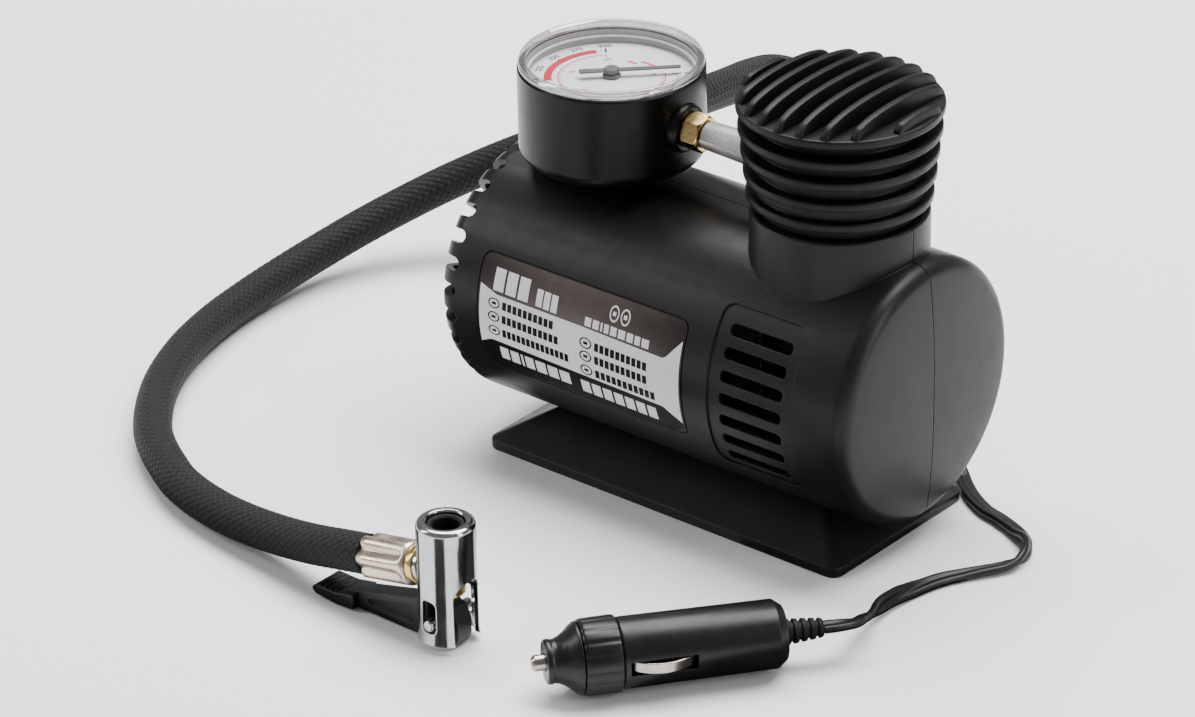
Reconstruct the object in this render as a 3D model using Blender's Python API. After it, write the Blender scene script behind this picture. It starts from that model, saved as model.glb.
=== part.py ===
"""Portable tire inflator: a 12 V direct-gear air compressor with a dial gauge, an air hose that ends in a
thumb-lock valve chuck, and a power cord that ends in a vehicle plug.

World frame, metres: +X runs along the body from the vented motor end to the crank end, +Y points to the
back, +Z is up, and z = 0 is the underside of the base.
"""
import math

import bmesh
import bpy
from mathutils import Matrix, Vector

MM = 0.001
GAP = 0.3 * MM                  # clearance between pieces that rest on each other

# --- body ---------------------------------------------------------------------------------------
BODY_R = 40.2 * MM              # outer radius of the barrel-shaped housing
BODY_Z = 50.2 * MM              # height of its axis
BODY_X0, BODY_X1 = -77.4 * MM, 76.9 * MM
VENT_END_FILLET = 7.6 * MM      # rounded edge of the motor end
CRANK_END_FILLET = 5.0 * MM     # rounded edge of the crank end
CRANK_END_DOME = 1.8 * MM       # how far the crank end face swells
BODY_FACETS = 46
WALL = 2.2 * MM
END_SLOTS, END_SLOT_W = 30, 4.2 * MM
END_SLOT_X, END_SLOT_R = -68.9 * MM, 27.0 * MM
SIDE_VENTS, SIDE_VENT_PITCH = 7, math.radians(10.0)
SIDE_VENT_TOP = math.radians(31.6)
SIDE_VENT_X = (30.2 * MM, 52.4 * MM)
SIDE_VENT_H = 3.6 * MM
VENT_PANEL = (26.0 * MM, 55.7 * MM, 27.4 * MM, 77.0 * MM)      # x0, x1, z0, z1
LABEL_PANEL = (-60.4 * MM, 17.0 * MM, 33.2 * MM, 69.7 * MM)
PANEL_CORNER = 3.4 * MM
PANEL_DEPTH = 0.5 * MM
HOUSING_SCREWS = [(-66.0 * MM, 72.0 * MM), (-66.0 * MM, 28.0 * MM), (66.0 * MM, 69.0 * MM),
                  (66.0 * MM, 28.0 * MM)]
SCREW_HOLE_R, SCREW_SINK_R = 1.8 * MM, 3.2 * MM
ROCKER_TILT = math.radians(7)   # the switch rests in its off position

# --- base ---------------------------------------------------------------------------------------
BASE_L, BASE_W = 131.7 * MM, 62.3 * MM
BASE_EDGE = 3.1 * MM            # height of the upright edge
BASE_TOP, BASE_INSET = 13.5 * MM, 17.4 * MM
BASE_SCREWS = [(-45.0 * MM, -9.0 * MM), (-45.0 * MM, 9.0 * MM), (45.0 * MM, -9.0 * MM),
               (45.0 * MM, 9.0 * MM)]

# --- cylinder head and its finned cover ---------------------------------------------------------
HEAD_X = 43.0 * MM
NECK_R, NECK_BORE, NECK_TOP = 25.9 * MM, 22.5 * MM, 101.0 * MM
DISC_TOP, DISC_PITCH, DISC_T = 134.0 * MM, 6.7 * MM, 2.85 * MM
DISC_R = [29.7 * MM, 29.1 * MM, 28.3 * MM, 27.6 * MM, 26.8 * MM]
CORE_R, COVER_BORE = 24.3 * MM, 21.5 * MM
CROWN_FINS, CROWN_PITCH, CROWN_FIN_T, CROWN_H = 9, 6.7 * MM, 2.35 * MM, 6.7 * MM

# --- compressor works ---------------------------------------------------------------------------
MODULE, GEAR_TEETH, PINION_TEETH = 0.9 * MM, 40, 10
GEAR_Z = 51.5 * MM
PINION_Z = GEAR_Z - MODULE * (GEAR_TEETH + PINION_TEETH) / 2
GEAR_X0, GEAR_X1 = 29.5 * MM, 34.5 * MM
CRANK_THROW = 7.0 * MM
FRAME_X0, FRAME_X1 = 24.0 * MM, 26.7 * MM
SHELF_Z0, SHELF_Z1 = 72.0 * MM, 74.5 * MM
MOTOR_R, MOTOR_X0, MOTOR_X1, MOTOR_SHELL = 15.5 * MM, -30.0 * MM, 23.7 * MM, 1.2 * MM
BORE_R, CYL_R = 11.0 * MM, 13.0 * MM
CYL_TOP = 101.0 * MM
BOLT_Y = 16.4 * MM              # cylinder bolts, either side of the bore
PISTON_Z0, PISTON_Z1 = 77.0 * MM, 86.0 * MM
ROD_X0, ROD_X1 = 40.0 * MM, 46.0 * MM
WRIST_Z = 80.5 * MM

# --- gauge --------------------------------------------------------------------------------------
GAUGE_X = -40.7 * MM
GAUGE_R, GAUGE_Z0, GAUGE_Z1 = 27.7 * MM, 93.5 * MM, 121.8 * MM
DIAL_Z = 117.6 * MM             # printed face of the dial
LENS_TOP = 124.6 * MM
TUBE_Z = 109.0 * MM             # axis of the outlet tube, the nut and the gauge boss
BOSS_FACE_X = -11.5 * MM
NUT_X0, NUT_X1, NUT_FLATS = -11.2 * MM, -5.2 * MM, 10.0 * MM

# --- hose and chuck -----------------------------------------------------------------------------
HOSE_D = 12.2 * MM
HOSE_OUT = Vector((-math.sqrt(0.5), math.sqrt(0.5), 0.0))       # way out of the cylinder head
HOSE_Z = 110.0 * MM
CHUCK_X, CHUCK_Y = 0.8 * MM, -124.5 * MM
CHUCK_R, CHUCK_Z0, CHUCK_Z1 = 8.5 * MM, 2.5 * MM, 38.8 * MM
CHUCK_BORE, SEAL_BORE = 5.6 * MM, 3.9 * MM
TAIL_Z, TAIL_TILT = 23.2 * MM, math.radians(11.0)
PIVOT_Z = 8.4 * MM
FERRULE_S = (11.4 * MM, 29.4 * MM)
FERRULE_R = 6.7 * MM
HOSE_ROUTE = [                  # millimetres, from the head's fitting round to the ferrule
    (-0.7, 42.4, 108.7), (-15.4, 53.4, 104.9), (-31.6, 64.0, 98.3), (-47.2, 73.0, 89.4),
    (-63.5, 80.8, 78.8), (-83.1, 87.4, 66.8), (-102.0, 89.3, 56.8), (-118.2, 87.7, 48.6),
    (-132.3, 83.6, 41.4), (-144.6, 77.3, 35.1), (-155.2, 69.3, 29.2), (-164.1, 59.6, 23.8),
    (-171.4, 48.5, 18.8), (-176.9, 35.8, 14.6), (-180.7, 21.7, 11.0), (-182.6, 6.0, 8.4),
    (-182.4, -11.4, 6.8), (-179.4, -30.7, 6.3), (-172.6, -52.0, 6.3), (-160.8, -74.3, 6.3),
    (-142.8, -95.4, 6.3), (-121.1, -109.6, 6.3), (-107.5, -115.2, 6.4), (-93.2, -118.6, 6.9),
    (-80.3, -120.4, 7.8), (-67.5, -121.8, 9.4), (-55.0, -123.2, 11.7), (-45.5, -124.1, 13.9)]

# --- power cord and plug ------------------------------------------------------------------------
CORD_R = 1.9 * MM
GLAND_X, GLAND_ANGLE = 50.0 * MM, math.radians(-45.0)
PLUG_TIP = Vector((39.4 * MM, -134.3 * MM, 11.1 * MM))
PLUG_DIR = Vector((0.6157, 0.788, 0.0)).normalized()
PLUG_LEN = 82.6 * MM
CONTACT_T = 0.7 * MM
CORD_ROUTE = [                  # millimetres, from the gland to the strain relief of the plug
    (51.0, 39.4, 9.3), (53.8, 41.4, 4.8), (58.0, 40.0, 2.5), (63.0, 35.6, 2.1), (68.5, 31.4, 2.1),
    (76.3, 27.0, 2.1), (83.1, 25.1, 2.1), (90.2, 22.4, 2.1), (97.0, 18.4, 2.1), (101.3, 12.4, 2.1),
    (101.7, 6.6, 2.1), (99.6, 1.6, 2.1), (96.6, -3.0, 2.1), (93.2, -8.4, 2.1), (90.4, -14.2, 2.1),
    (88.6, -20.4, 2.2), (87.7, -27.0, 2.5), (87.7, -34.0, 3.3), (88.9, -41.6, 4.6), (91.2, -49.0, 6.4),
    (93.6, -56.0, 8.7), (94.9, -61.0, 10.4)]


# ================================================================================================
# helpers
# ================================================================================================
def clear_scene():
    for obj in list(bpy.data.objects):
        bpy.data.objects.remove(obj, do_unlink=True)


def material(name, rgb, roughness, metallic=0.0):
    mat = bpy.data.materials.get(name)
    if mat is None:
        mat = bpy.data.materials.new(name)
        mat.use_nodes = True
        shader = mat.node_tree.nodes["Principled BSDF"]
        shader.inputs["Base Color"].default_value = (*rgb, 1.0)
        shader.inputs["Roughness"].default_value = roughness
        shader.inputs["Metallic"].default_value = metallic
        mat.diffuse_color = (*rgb, 1.0)
    return mat


MATS = {
    "housing": ((0.045, 0.042, 0.046), 0.5, 0.0), "black": ((0.02, 0.02, 0.021), 0.55, 0.0),
    "gloss_black": ((0.018, 0.017, 0.018), 0.3, 0.0), "steel": ((0.62, 0.62, 0.63), 0.35, 1.0),
    "chrome": ((0.75, 0.75, 0.77), 0.12, 1.0), "nickel": ((0.72, 0.65, 0.56), 0.28, 1.0),
    "brass": ((0.78, 0.58, 0.27), 0.3, 1.0), "cast": ((0.5, 0.49, 0.5), 0.55, 1.0),
    "rubber": ((0.015, 0.015, 0.015), 0.8, 0.0), "braid": ((0.02, 0.019, 0.02), 0.75, 0.0),
    "label": ((0.55, 0.53, 0.55), 0.35, 0.0), "dial": ((0.8, 0.78, 0.82), 0.5, 0.0),
    "lens": ((0.9, 0.9, 0.92), 0.05, 0.0), "copper": ((0.72, 0.4, 0.25), 0.35, 1.0),
    "magnet": ((0.16, 0.16, 0.17), 0.7, 0.0), "nylon": ((0.78, 0.76, 0.7), 0.5, 0.0),
}


def add_object(name, bm, mat, smooth=True):
    """Turns a bmesh into a named object with one material."""
    bmesh.ops.recalc_face_normals(bm, faces=bm.faces[:])
    mesh = bpy.data.meshes.new(name)
    bm.to_mesh(mesh)
    bm.free()
    if smooth:
        mesh.shade_smooth()
        mesh.set_sharp_from_angle(angle=math.radians(32))
    obj = bpy.data.objects.new(name, mesh)
    bpy.context.scene.collection.objects.link(obj)
    if mat:
        mesh.materials.append(material(mat, *MATS[mat]))
    return obj


def place(origin, x_dir, z_dir):
    """World matrix whose local Z runs along z_dir and local X as near x_dir as it can."""
    z = Vector(z_dir).normalized()
    y = z.cross(Vector(x_dir)).normalized()
    x = y.cross(z)
    rot = Matrix((x, y, z)).transposed().to_4x4()
    return Matrix.Translation(Vector(origin)) @ rot


ALONG_X = place((0, 0, 0), (0, 1, 0), (1, 0, 0))        # local Z along world X, local X along world Y
ALONG_Y = place((0, 0, 0), (0, 0, 1), (0, 1, 0))        # local Z along world Y, local X along world Z


def at(matrix, origin):
    return Matrix.Translation(Vector(origin)) @ matrix


def add_turned(bm, profile, segments, matrix=Matrix()):
    """Turns an outline of (radius, height) points about local Z; a flat end on the axis is one face."""
    closed = profile[0][0] > 0 or profile[-1][0] > 0
    start_cap = not closed and abs(profile[0][1] - profile[1][1]) < 1e-7
    end_cap = not closed and abs(profile[-1][1] - profile[-2][1]) < 1e-7
    points = profile[start_cap:len(profile) - end_cap]
    rings = []
    for radius, height in points:
        if radius < 1e-7:
            rings.append([bm.verts.new(matrix @ Vector((0.0, 0.0, height)))] * segments)
        else:
            rings.append([bm.verts.new(matrix @ Vector((x, y, height)))
                          for x, y in circle(radius, segments)])
    if start_cap:
        bm.faces.new(rings[0])
    if end_cap:
        bm.faces.new(rings[-1])
    pairs = list(zip(rings, rings[1:])) + ([(rings[-1], rings[0])] if closed else [])
    for low, high in pairs:
        for i in range(segments):
            j = (i + 1) % segments
            corners = list(dict.fromkeys((low[i], low[j], high[j], high[i])))
            if len(corners) > 2:
                bm.faces.new(corners)


def lathe(name, profile, mat, segments=32, matrix=Matrix()):
    bm = bmesh.new()
    add_turned(bm, profile, segments, matrix)
    return add_object(name, bm, mat)


def add_prism(bm, outline, z0, z1, matrix=Matrix(), top=None):
    """Adds a straight solid on an outline of (x, y) points; top gives a second outline for a taper."""
    low = [bm.verts.new(matrix @ Vector((x, y, z0))) for x, y in outline]
    high = [bm.verts.new(matrix @ Vector((x, y, z1))) for x, y in (top or outline)]
    bm.faces.new(low[::-1])
    bm.faces.new(high)
    for i in range(len(outline)):
        j = (i + 1) % len(outline)
        bm.faces.new((low[i], low[j], high[j], high[i]))


def prism(name, outline, z0, z1, mat, matrix=Matrix(), top=None):
    bm = bmesh.new()
    add_prism(bm, outline, z0, z1, matrix, top)
    return add_object(name, bm, mat)


def rounded_rect(x0, x1, y0, y1, radius, steps=4):
    points = []
    corners = [(x1 - radius, y1 - radius, 0), (x0 + radius, y1 - radius, 90),
               (x0 + radius, y0 + radius, 180), (x1 - radius, y0 + radius, 270)]
    for cx, cy, start in corners:
        for i in range(steps + 1):
            a = math.radians(start + 90 * i / steps)
            points.append((cx + radius * math.cos(a), cy + radius * math.sin(a)))
    return points


def rect(x0, x1, y0, y1):
    return [(x0, y0), (x1, y0), (x1, y1), (x0, y1)]


def circle(radius, steps, cx=0.0, cy=0.0, start=0.0):
    angles = [start + 2 * math.pi * i / steps for i in range(steps)]
    return [(cx + radius * math.cos(a), cy + radius * math.sin(a)) for a in angles]


def stadium(x0, x1, height, steps=4):
    return rounded_rect(x0, x1, -height / 2, height / 2, height / 2 * 0.999, steps)


def fillet(cx, cz, radius, start, end, steps):
    """Points of an arc in the (radius, height) plane, angles in degrees."""
    points = []
    for i in range(steps + 1):
        a = math.radians(start + (end - start) * i / steps)
        points.append((cx + radius * math.cos(a), cz + radius * math.sin(a)))
    return points


def boolean(obj, cutter, operation="DIFFERENCE"):
    """Cuts obj with another object, joins it or keeps the common part; the other object is only a guide."""
    cutter.hide_render = True
    cutter.display_type = "WIRE"
    mod = obj.modifiers.new(operation.lower() + "_" + cutter.name, "BOOLEAN")
    mod.operation = operation
    mod.object = cutter
    mod.solver = "EXACT"
    return obj


def cut_prism(obj, tag, outline, z0, z1, matrix=Matrix()):
    return boolean(obj, prism("cut_" + tag, outline, z0, z1, None, matrix))


def gear_outline(teeth, phase):
    """Straight-sided teeth with generous backlash."""
    pitch_r = MODULE * teeth / 2
    root, tip = pitch_r - 1.15 * MODULE, pitch_r + 0.85 * MODULE
    pitch = 2 * math.pi / teeth
    points = []
    for i in range(teeth):
        a = phase + pitch * i
        for radius, share in ((root, -0.27), (tip, -0.11), (tip, 0.11), (root, 0.27)):
            points.append((radius * math.cos(a + share * pitch), radius * math.sin(a + share * pitch)))
    return points


def smooth_route(points, spacing):
    """Evenly spaced points on a Catmull-Rom curve through the route's points (millimetres in, metres out)."""
    pts = [Vector(p) * MM for p in points]
    pts = [pts[0] * 2 - pts[1]] + pts + [pts[-1] * 2 - pts[-2]]
    dense = []
    for a, b, c, d in zip(pts, pts[1:], pts[2:], pts[3:]):
        for i in range(24):
            t = i / 24
            dense.append(0.5 * ((2 * b) + (c - a) * t + (2 * a - 5 * b + 4 * c - d) * t * t
                                + (3 * b - a - 3 * c + d) * t ** 3))
    dense.append(pts[-2])
    lengths = [0.0]
    for a, b in zip(dense, dense[1:]):
        lengths.append(lengths[-1] + (b - a).length)
    count = max(2, round(lengths[-1] / spacing))
    result = []
    k = 0
    for i in range(count + 1):
        s = lengths[-1] * i / count
        while k < len(lengths) - 2 and lengths[k + 1] < s:
            k += 1
        f = (s - lengths[k]) / (lengths[k + 1] - lengths[k])
        result.append(dense[k].lerp(dense[k + 1], min(1.0, f)))
    return result


def tube(name, points, radius, mat, resolution):
    """A round cord: a bevelled curve with filled caps."""
    curve = bpy.data.curves.new(name, "CURVE")
    curve.dimensions = "3D"
    curve.bevel_depth = radius
    curve.bevel_resolution = resolution
    curve.use_fill_caps = True
    spline = curve.splines.new("POLY")
    spline.points.add(len(points) - 1)
    for point, co in zip(spline.points, points):
        point.co = (*co, 1.0)
    obj = bpy.data.objects.new(name, curve)
    bpy.context.scene.collection.objects.link(obj)
    curve.materials.append(material(mat, *MATS[mat]))
    return obj


def screw(name, head_at, direction, length, shank_r=1.5 * MM, head_r=2.8 * MM, head_t=1.8 * MM):
    """Pan-head screw: head_at is the middle of its outer face and direction points to its tip."""
    profile = [(0, 0), (head_r * 0.8, 0), (head_r, head_t * 0.4), (head_r, head_t), (shank_r, head_t),
               (shank_r, length), (0, length)]
    side = (1, 0, 0) if abs(direction[0]) < 0.5 else (0, 1, 0)
    return lathe(name, profile, "steel", 10, place(head_at, side, direction))


# ================================================================================================
# housing and base
# ================================================================================================
def body_profile(inset):
    """Closed outline of the barrel, turned about the body axis and drawn inset by a wall thickness."""
    r = BODY_R - inset
    x0, x1 = BODY_X0 + inset, BODY_X1 - inset
    f0, f1 = VENT_END_FILLET - inset, CRANK_END_FILLET - inset * 0.8
    steps = 2 if inset else 4
    points = [(0, x0)]
    points += [(px, pz) for px, pz in fillet(r - f0, x0 + f0, f0, 270, 360, steps)]
    edge = x1 - CRANK_END_DOME
    points += [(px, pz) for px, pz in fillet(r - f1, edge - f1, f1, 0, 82, steps)]
    rim, rise = points[-1][0], x1 - points[-1][1]
    points += [(rim * 0.65, x1 - rise * 0.3), (rim * 0.3, x1), (0, x1)]
    return points


def body_axis():
    """Frame along the barrel's axis, turned so that no facet edge lies in the parting plane."""
    return at(ALONG_X, (0, 0, BODY_Z)) @ Matrix.Rotation(math.radians(180 / BODY_FACETS), 4, "Z")


def radial_matrix(angle, x=0.0):
    """Frame on the body axis: local Z points out at angle above the front, local X along the body."""
    direction = (0, -math.cos(angle), math.sin(angle))
    return place((x, 0, BODY_Z), (1, 0, 0), direction)


def end_slot_cutter(name):
    bm = bmesh.new()
    outline = [(BODY_X0 - 4 * MM, -END_SLOT_W / 2)]
    outline += [(END_SLOT_X - END_SLOT_W / 2 + END_SLOT_W / 2 * math.cos(a), END_SLOT_W / 2 * math.sin(a))
                for a in (math.radians(d) for d in (-90, -30, 30, 90))]
    outline += [(BODY_X0 - 4 * MM, END_SLOT_W / 2)]
    for i in range(END_SLOTS):
        angle = math.radians(6 + 360 / END_SLOTS * i)
        if abs(math.sin(angle)) < 0.99:
            add_prism(bm, outline, END_SLOT_R, BODY_R + 4 * MM, radial_matrix(angle))
    return add_object(name, bm, None)


def side_vent_cutter(name, mirror):
    bm = bmesh.new()
    outline = stadium(*SIDE_VENT_X, SIDE_VENT_H, 3)
    for i in range(SIDE_VENTS):
        angle = SIDE_VENT_TOP - SIDE_VENT_PITCH * i
        if mirror:
            angle = math.pi - angle
        add_prism(bm, outline, BODY_R - 5 * MM, BODY_R + 3 * MM, radial_matrix(angle))
    return add_object(name, bm, None)


def panel_cutter(name, panel, side, depth):
    """Shallow recess of a rounded rectangle, seen from the side, that follows the curved wall."""
    x0, x1, z0, z1 = panel
    outline = [(z, x) for z, x in rounded_rect(z0, z1, x0, x1, PANEL_CORNER)]
    near, far = sorted((side * 15 * MM, side * (BODY_R + 5 * MM)))
    cutter = prism(name, outline, near, far, None, ALONG_Y)
    core = lathe(name + "_core", [(0, x0 - 9 * MM), (BODY_R - depth, x0 - 9 * MM),
                                  (BODY_R - depth, x1 + 9 * MM), (0, x1 + 9 * MM)], None, BODY_FACETS,
                                  body_axis())
    return boolean(cutter, core)


def housing_half(name, side):
    """One moulded half shell; side is -1 for the front and +1 for the rear."""
    axis = body_axis()
    head_axis = Matrix.Translation((HEAD_X, 0, 0)) @ Matrix.Rotation(math.radians(2), 4, "Z")
    half = lathe(name, body_profile(0.0), "housing", BODY_FACETS, axis)
    neck_low = BODY_Z + 10 * MM
    neck = lathe(name + "_neck", [(0, neck_low), (NECK_R, neck_low), (NECK_R, NECK_TOP - 0.8 * MM),
                                  (NECK_R - 0.8 * MM, NECK_TOP), (0, NECK_TOP)], None, 36, head_axis)
    boolean(half, neck, "UNION")
    cavity = lathe(name + "_cavity", body_profile(WALL), None, 30, axis)
    bosses = bmesh.new()
    for x, z in HOUSING_SCREWS:
        add_prism(bosses, circle(3.6 * MM, 12, z, x), -45 * MM, 45 * MM, ALONG_Y)
    for x, y in BASE_SCREWS:
        add_prism(bosses, circle(3.4 * MM, 12, x, y), 0, 17 * MM)
    boolean(cavity, add_object(name + "_bosses", bosses, None))
    boolean(half, cavity)
    boolean(half, lathe(name + "_bore", [(0, neck_low), (NECK_BORE, neck_low),
                                         (NECK_BORE, NECK_TOP + 2 * MM), (0, NECK_TOP + 2 * MM)], None, 36,
                        head_axis @ Matrix.Rotation(math.radians(3.1), 4, "Z")))
    boolean(half, end_slot_cutter(name + "_end_slots"))
    boolean(half, panel_cutter(name + "_vent_panel", VENT_PANEL, side, PANEL_DEPTH))
    boolean(half, side_vent_cutter(name + "_side_vents", side > 0))
    holes = bmesh.new()
    for x, z in HOUSING_SCREWS:
        if side > 0:
            add_turned(holes, [(0, -MM), (SCREW_HOLE_R, -MM), (SCREW_HOLE_R, 24 * MM),
                               (SCREW_SINK_R, 24 * MM), (SCREW_SINK_R, 45 * MM), (0, 45 * MM)], 12,
                               at(ALONG_Y, (x, 0, z)))
        else:
            add_prism(holes, circle(SCREW_HOLE_R, 12, z, x), -14 * MM, MM, ALONG_Y)
    for x, y in BASE_SCREWS:
        if y * side > 0:
            add_prism(holes, circle(SCREW_HOLE_R, 12, x, y), 0, 15 * MM)
    add_prism(holes, rect(BODY_Z - 9.8 * MM, BODY_Z + 9.8 * MM, BODY_X0 - 3 * MM, BODY_X0 + 4 * MM),
              -6.8 * MM, 6.8 * MM, ALONG_Y)
    boolean(half, add_object(name + "_holes", holes, None))
    if side < 0:
        boolean(half, panel_cutter(name + "_label_panel", LABEL_PANEL, side, PANEL_DEPTH))
    else:
        gland = radial_matrix(math.pi - GLAND_ANGLE, GLAND_X)
        cut_prism(half, name + "_gland", circle(4.2 * MM, 20), BODY_R - 6 * MM, BODY_R + 3 * MM, gland)
    near, far = sorted((side * 0.5 * GAP, side * (BODY_R + 5 * MM)))
    keep = prism(name + "_side", rect(0, NECK_TOP + 5 * MM, BODY_X0 - 5 * MM, BODY_X1 + 5 * MM), near, far,
                 None, ALONG_Y)
    return boolean(half, keep, "INTERSECT")


def make_housing():
    housing_half("housing_front", -1)
    housing_half("housing_rear", 1)
    for i, (x, z) in enumerate(HOUSING_SCREWS, 1):
        screw("housing_screw_%d" % i, (x, 25.9 * MM, z), (0, -1, 0), 37 * MM)


def make_label():
    """Thin printed plate that follows the curved wall."""
    x0, x1, z0, z1 = LABEL_PANEL
    margin = 0.4 * MM
    outline = rounded_rect(z0 + margin, z1 - margin, x0 + margin, x1 - margin, PANEL_CORNER - margin)
    plate = prism("label_plate", outline, -BODY_R - 4 * MM, -15 * MM, "label", ALONG_Y)
    low, high = BODY_R - PANEL_DEPTH + GAP, BODY_R + 0.1 * MM
    ring = lathe("label_ring", [(low, x0 - MM), (high, x0 - MM), (high, x1 + MM), (low, x1 + MM)], None,
                 BODY_FACETS, body_axis())
    boolean(plate, ring, "INTERSECT")


def make_base():
    low = rounded_rect(-BASE_L / 2, BASE_L / 2, -BASE_W / 2, BASE_W / 2, 3 * MM, 3)
    high = rounded_rect(-BASE_L / 2 + BASE_INSET, BASE_L / 2 - BASE_INSET, -BASE_W / 2 + BASE_INSET,
                        BASE_W / 2 - BASE_INSET, 1 * MM, 3)
    bm = bmesh.new()
    rings = []
    for outline, z in ((low, 0), (low, BASE_EDGE), (high, BASE_TOP)):
        rings.append([bm.verts.new((x, y, z)) for x, y in outline])
    bm.faces.new(rings[0][::-1])
    bm.faces.new(rings[-1])
    for a, b in zip(rings, rings[1:]):
        for i in range(len(a)):
            j = (i + 1) % len(a)
            bm.faces.new((a[i], a[j], b[j], b[i]))
    base = add_object("base", bm, "housing")
    saddle = lathe("base_saddle", [(0, -80 * MM), (BODY_R + GAP, -80 * MM), (BODY_R + GAP, 80 * MM),
                                   (0, 80 * MM)],
                   None, BODY_FACETS, body_axis())
    boolean(base, saddle)
    holes = bmesh.new()
    for x, y in BASE_SCREWS:
        add_turned(holes, [(0, -MM), (SCREW_SINK_R, -MM), (SCREW_SINK_R, 3.4 * MM),
                           (SCREW_HOLE_R, 3.4 * MM), (SCREW_HOLE_R, 16 * MM), (0, 16 * MM)], 12,
                           Matrix.Translation((x, y, 0)))
    boolean(base, add_object("base_holes", holes, None))
    for i, (x, y) in enumerate(BASE_SCREWS, 1):
        screw("base_screw_%d" % i, (x, y, 1.4 * MM), (0, 0, 1), 13 * MM)


def make_switch():
    """Rocker switch in the middle of the vented end face."""
    matrix = place((BODY_X0, 0, BODY_Z), (0, 0, 1), (-1, 0, 0))
    bm = bmesh.new()
    add_prism(bm, rounded_rect(-10.6 * MM, 10.6 * MM, -7.6 * MM, 7.6 * MM, 1.2 * MM, 3), GAP, 1.8 * MM,
              matrix)
    bezel = add_object("switch_bezel", bm, "gloss_black")
    body = prism("switch_body", rect(-9.5 * MM, 9.5 * MM, -6.5 * MM, 6.5 * MM), -12 * MM, 1 * MM, None,
                 matrix)
    boolean(bezel, body, "UNION")
    cut_prism(bezel, "switch_well", rect(-8.4 * MM, 8.4 * MM, -5.4 * MM, 5.4 * MM), -7 * MM, 5 * MM, matrix)
    pivot = place((BODY_X0, 0, BODY_Z), (0, 0, 1), (0, 1, 0)) @ Matrix.Rotation(-ROCKER_TILT, 4, "Z")
    outline = [(u * MM, -v * MM) for u, v in ((-7.7, -3.5), (-7.7, 1.2), (0.0, 2.6), (7.7, 1.2),
                                              (7.7, -3.5))]
    prism("switch_rocker", outline, -5.0 * MM, 5.0 * MM, "gloss_black", pivot)


# ================================================================================================
# compressor works
# ================================================================================================
def make_motor():
    axis = at(ALONG_X, (0, 0, PINION_Z))
    inner = MOTOR_R - MOTOR_SHELL
    lathe("motor_can", [(3.4 * MM, MOTOR_X1), (MOTOR_R, MOTOR_X1), (MOTOR_R, MOTOR_X0), (inner, MOTOR_X0),
                        (inner, MOTOR_X1 - 1.5 * MM), (3.4 * MM, MOTOR_X1 - 1.5 * MM)], "steel", 24, axis)
    lathe("motor_end_bell", [(2.2 * MM, MOTOR_X0 - 5 * MM), (6 * MM, MOTOR_X0 - 5 * MM),
                             (6 * MM, MOTOR_X0 - 3 * MM), (MOTOR_R, MOTOR_X0 - 3 * MM),
                             (MOTOR_R, MOTOR_X0 - GAP), (2.2 * MM, MOTOR_X0 - GAP)],
          "nylon", 20, axis)
    for name, start in (("magnet_front", 100), ("magnet_rear", -80)):
        inner_arc = [(11.2 * MM, a) for a in range(start, start + 161, 20)]
        outer_arc = [(13.9 * MM, a) for a in range(start + 160, start - 1, -20)]
        outline = [(r * math.cos(math.radians(a)), r * math.sin(math.radians(a)))
                   for r, a in inner_arc + outer_arc]
        prism(name, outline, -22 * MM, 14 * MM, "magnet", axis)
    shaft, core, commutator = 1.5 * MM, 10.5 * MM, 4.0 * MM
    lathe("rotor", [(0, -33 * MM), (shaft, -33 * MM), (shaft, -29 * MM), (commutator, -29 * MM),
                    (commutator, -24.5 * MM), (shaft, -24.5 * MM), (shaft, -22 * MM), (core, -22 * MM),
                    (core, 15 * MM), (shaft, 15 * MM), (shaft, 35 * MM), (0, 35 * MM)], "steel", 16, axis)
    pinion = prism("pinion", gear_outline(PINION_TEETH, math.pi / PINION_TEETH), GEAR_X0, GEAR_X1, "brass",
                   place((0, 0, PINION_Z), (0, 0, 1), (1, 0, 0)))
    cut_prism(pinion, "pinion_bore", circle(1.8 * MM, 16), GEAR_X0 - MM, GEAR_X1 + MM, axis)


def make_frame():
    """Pressed frame: an upright plate for the motor and the gear axle, and a shelf for the cylinder."""
    plate = rounded_rect(16.2 * MM, SHELF_Z1, -16 * MM, 16 * MM, 2.5 * MM, 2)
    matrix = place((0, 0, 0), (0, 0, 1), (1, 0, 0))
    frame = prism("gear_frame", plate, FRAME_X0, FRAME_X1, "steel", matrix)
    shelf = prism("frame_shelf", rounded_rect(FRAME_X0 + MM, HEAD_X + 19.5 * MM, -20 * MM, 20 * MM,
                                              4 * MM, 2),
                  SHELF_Z0, SHELF_Z1, None)
    boolean(frame, shelf, "UNION")
    holes = bmesh.new()
    add_prism(holes, circle(4.0 * MM, 20, PINION_Z, 0), FRAME_X0 - MM, FRAME_X1 + MM, matrix)
    add_prism(holes, circle(2.8 * MM, 16, GEAR_Z, 0), FRAME_X0 - MM, FRAME_X1 + MM, matrix)
    add_prism(holes, circle(11.4 * MM, 20, HEAD_X, 0), SHELF_Z0 - MM, SHELF_Z1 + MM)
    for dy in (-BOLT_Y, BOLT_Y):
        add_prism(holes, circle(1.8 * MM, 12, HEAD_X, dy), SHELF_Z0 - MM, SHELF_Z1 + MM)
    boolean(frame, add_object("frame_holes", holes, None))


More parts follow.
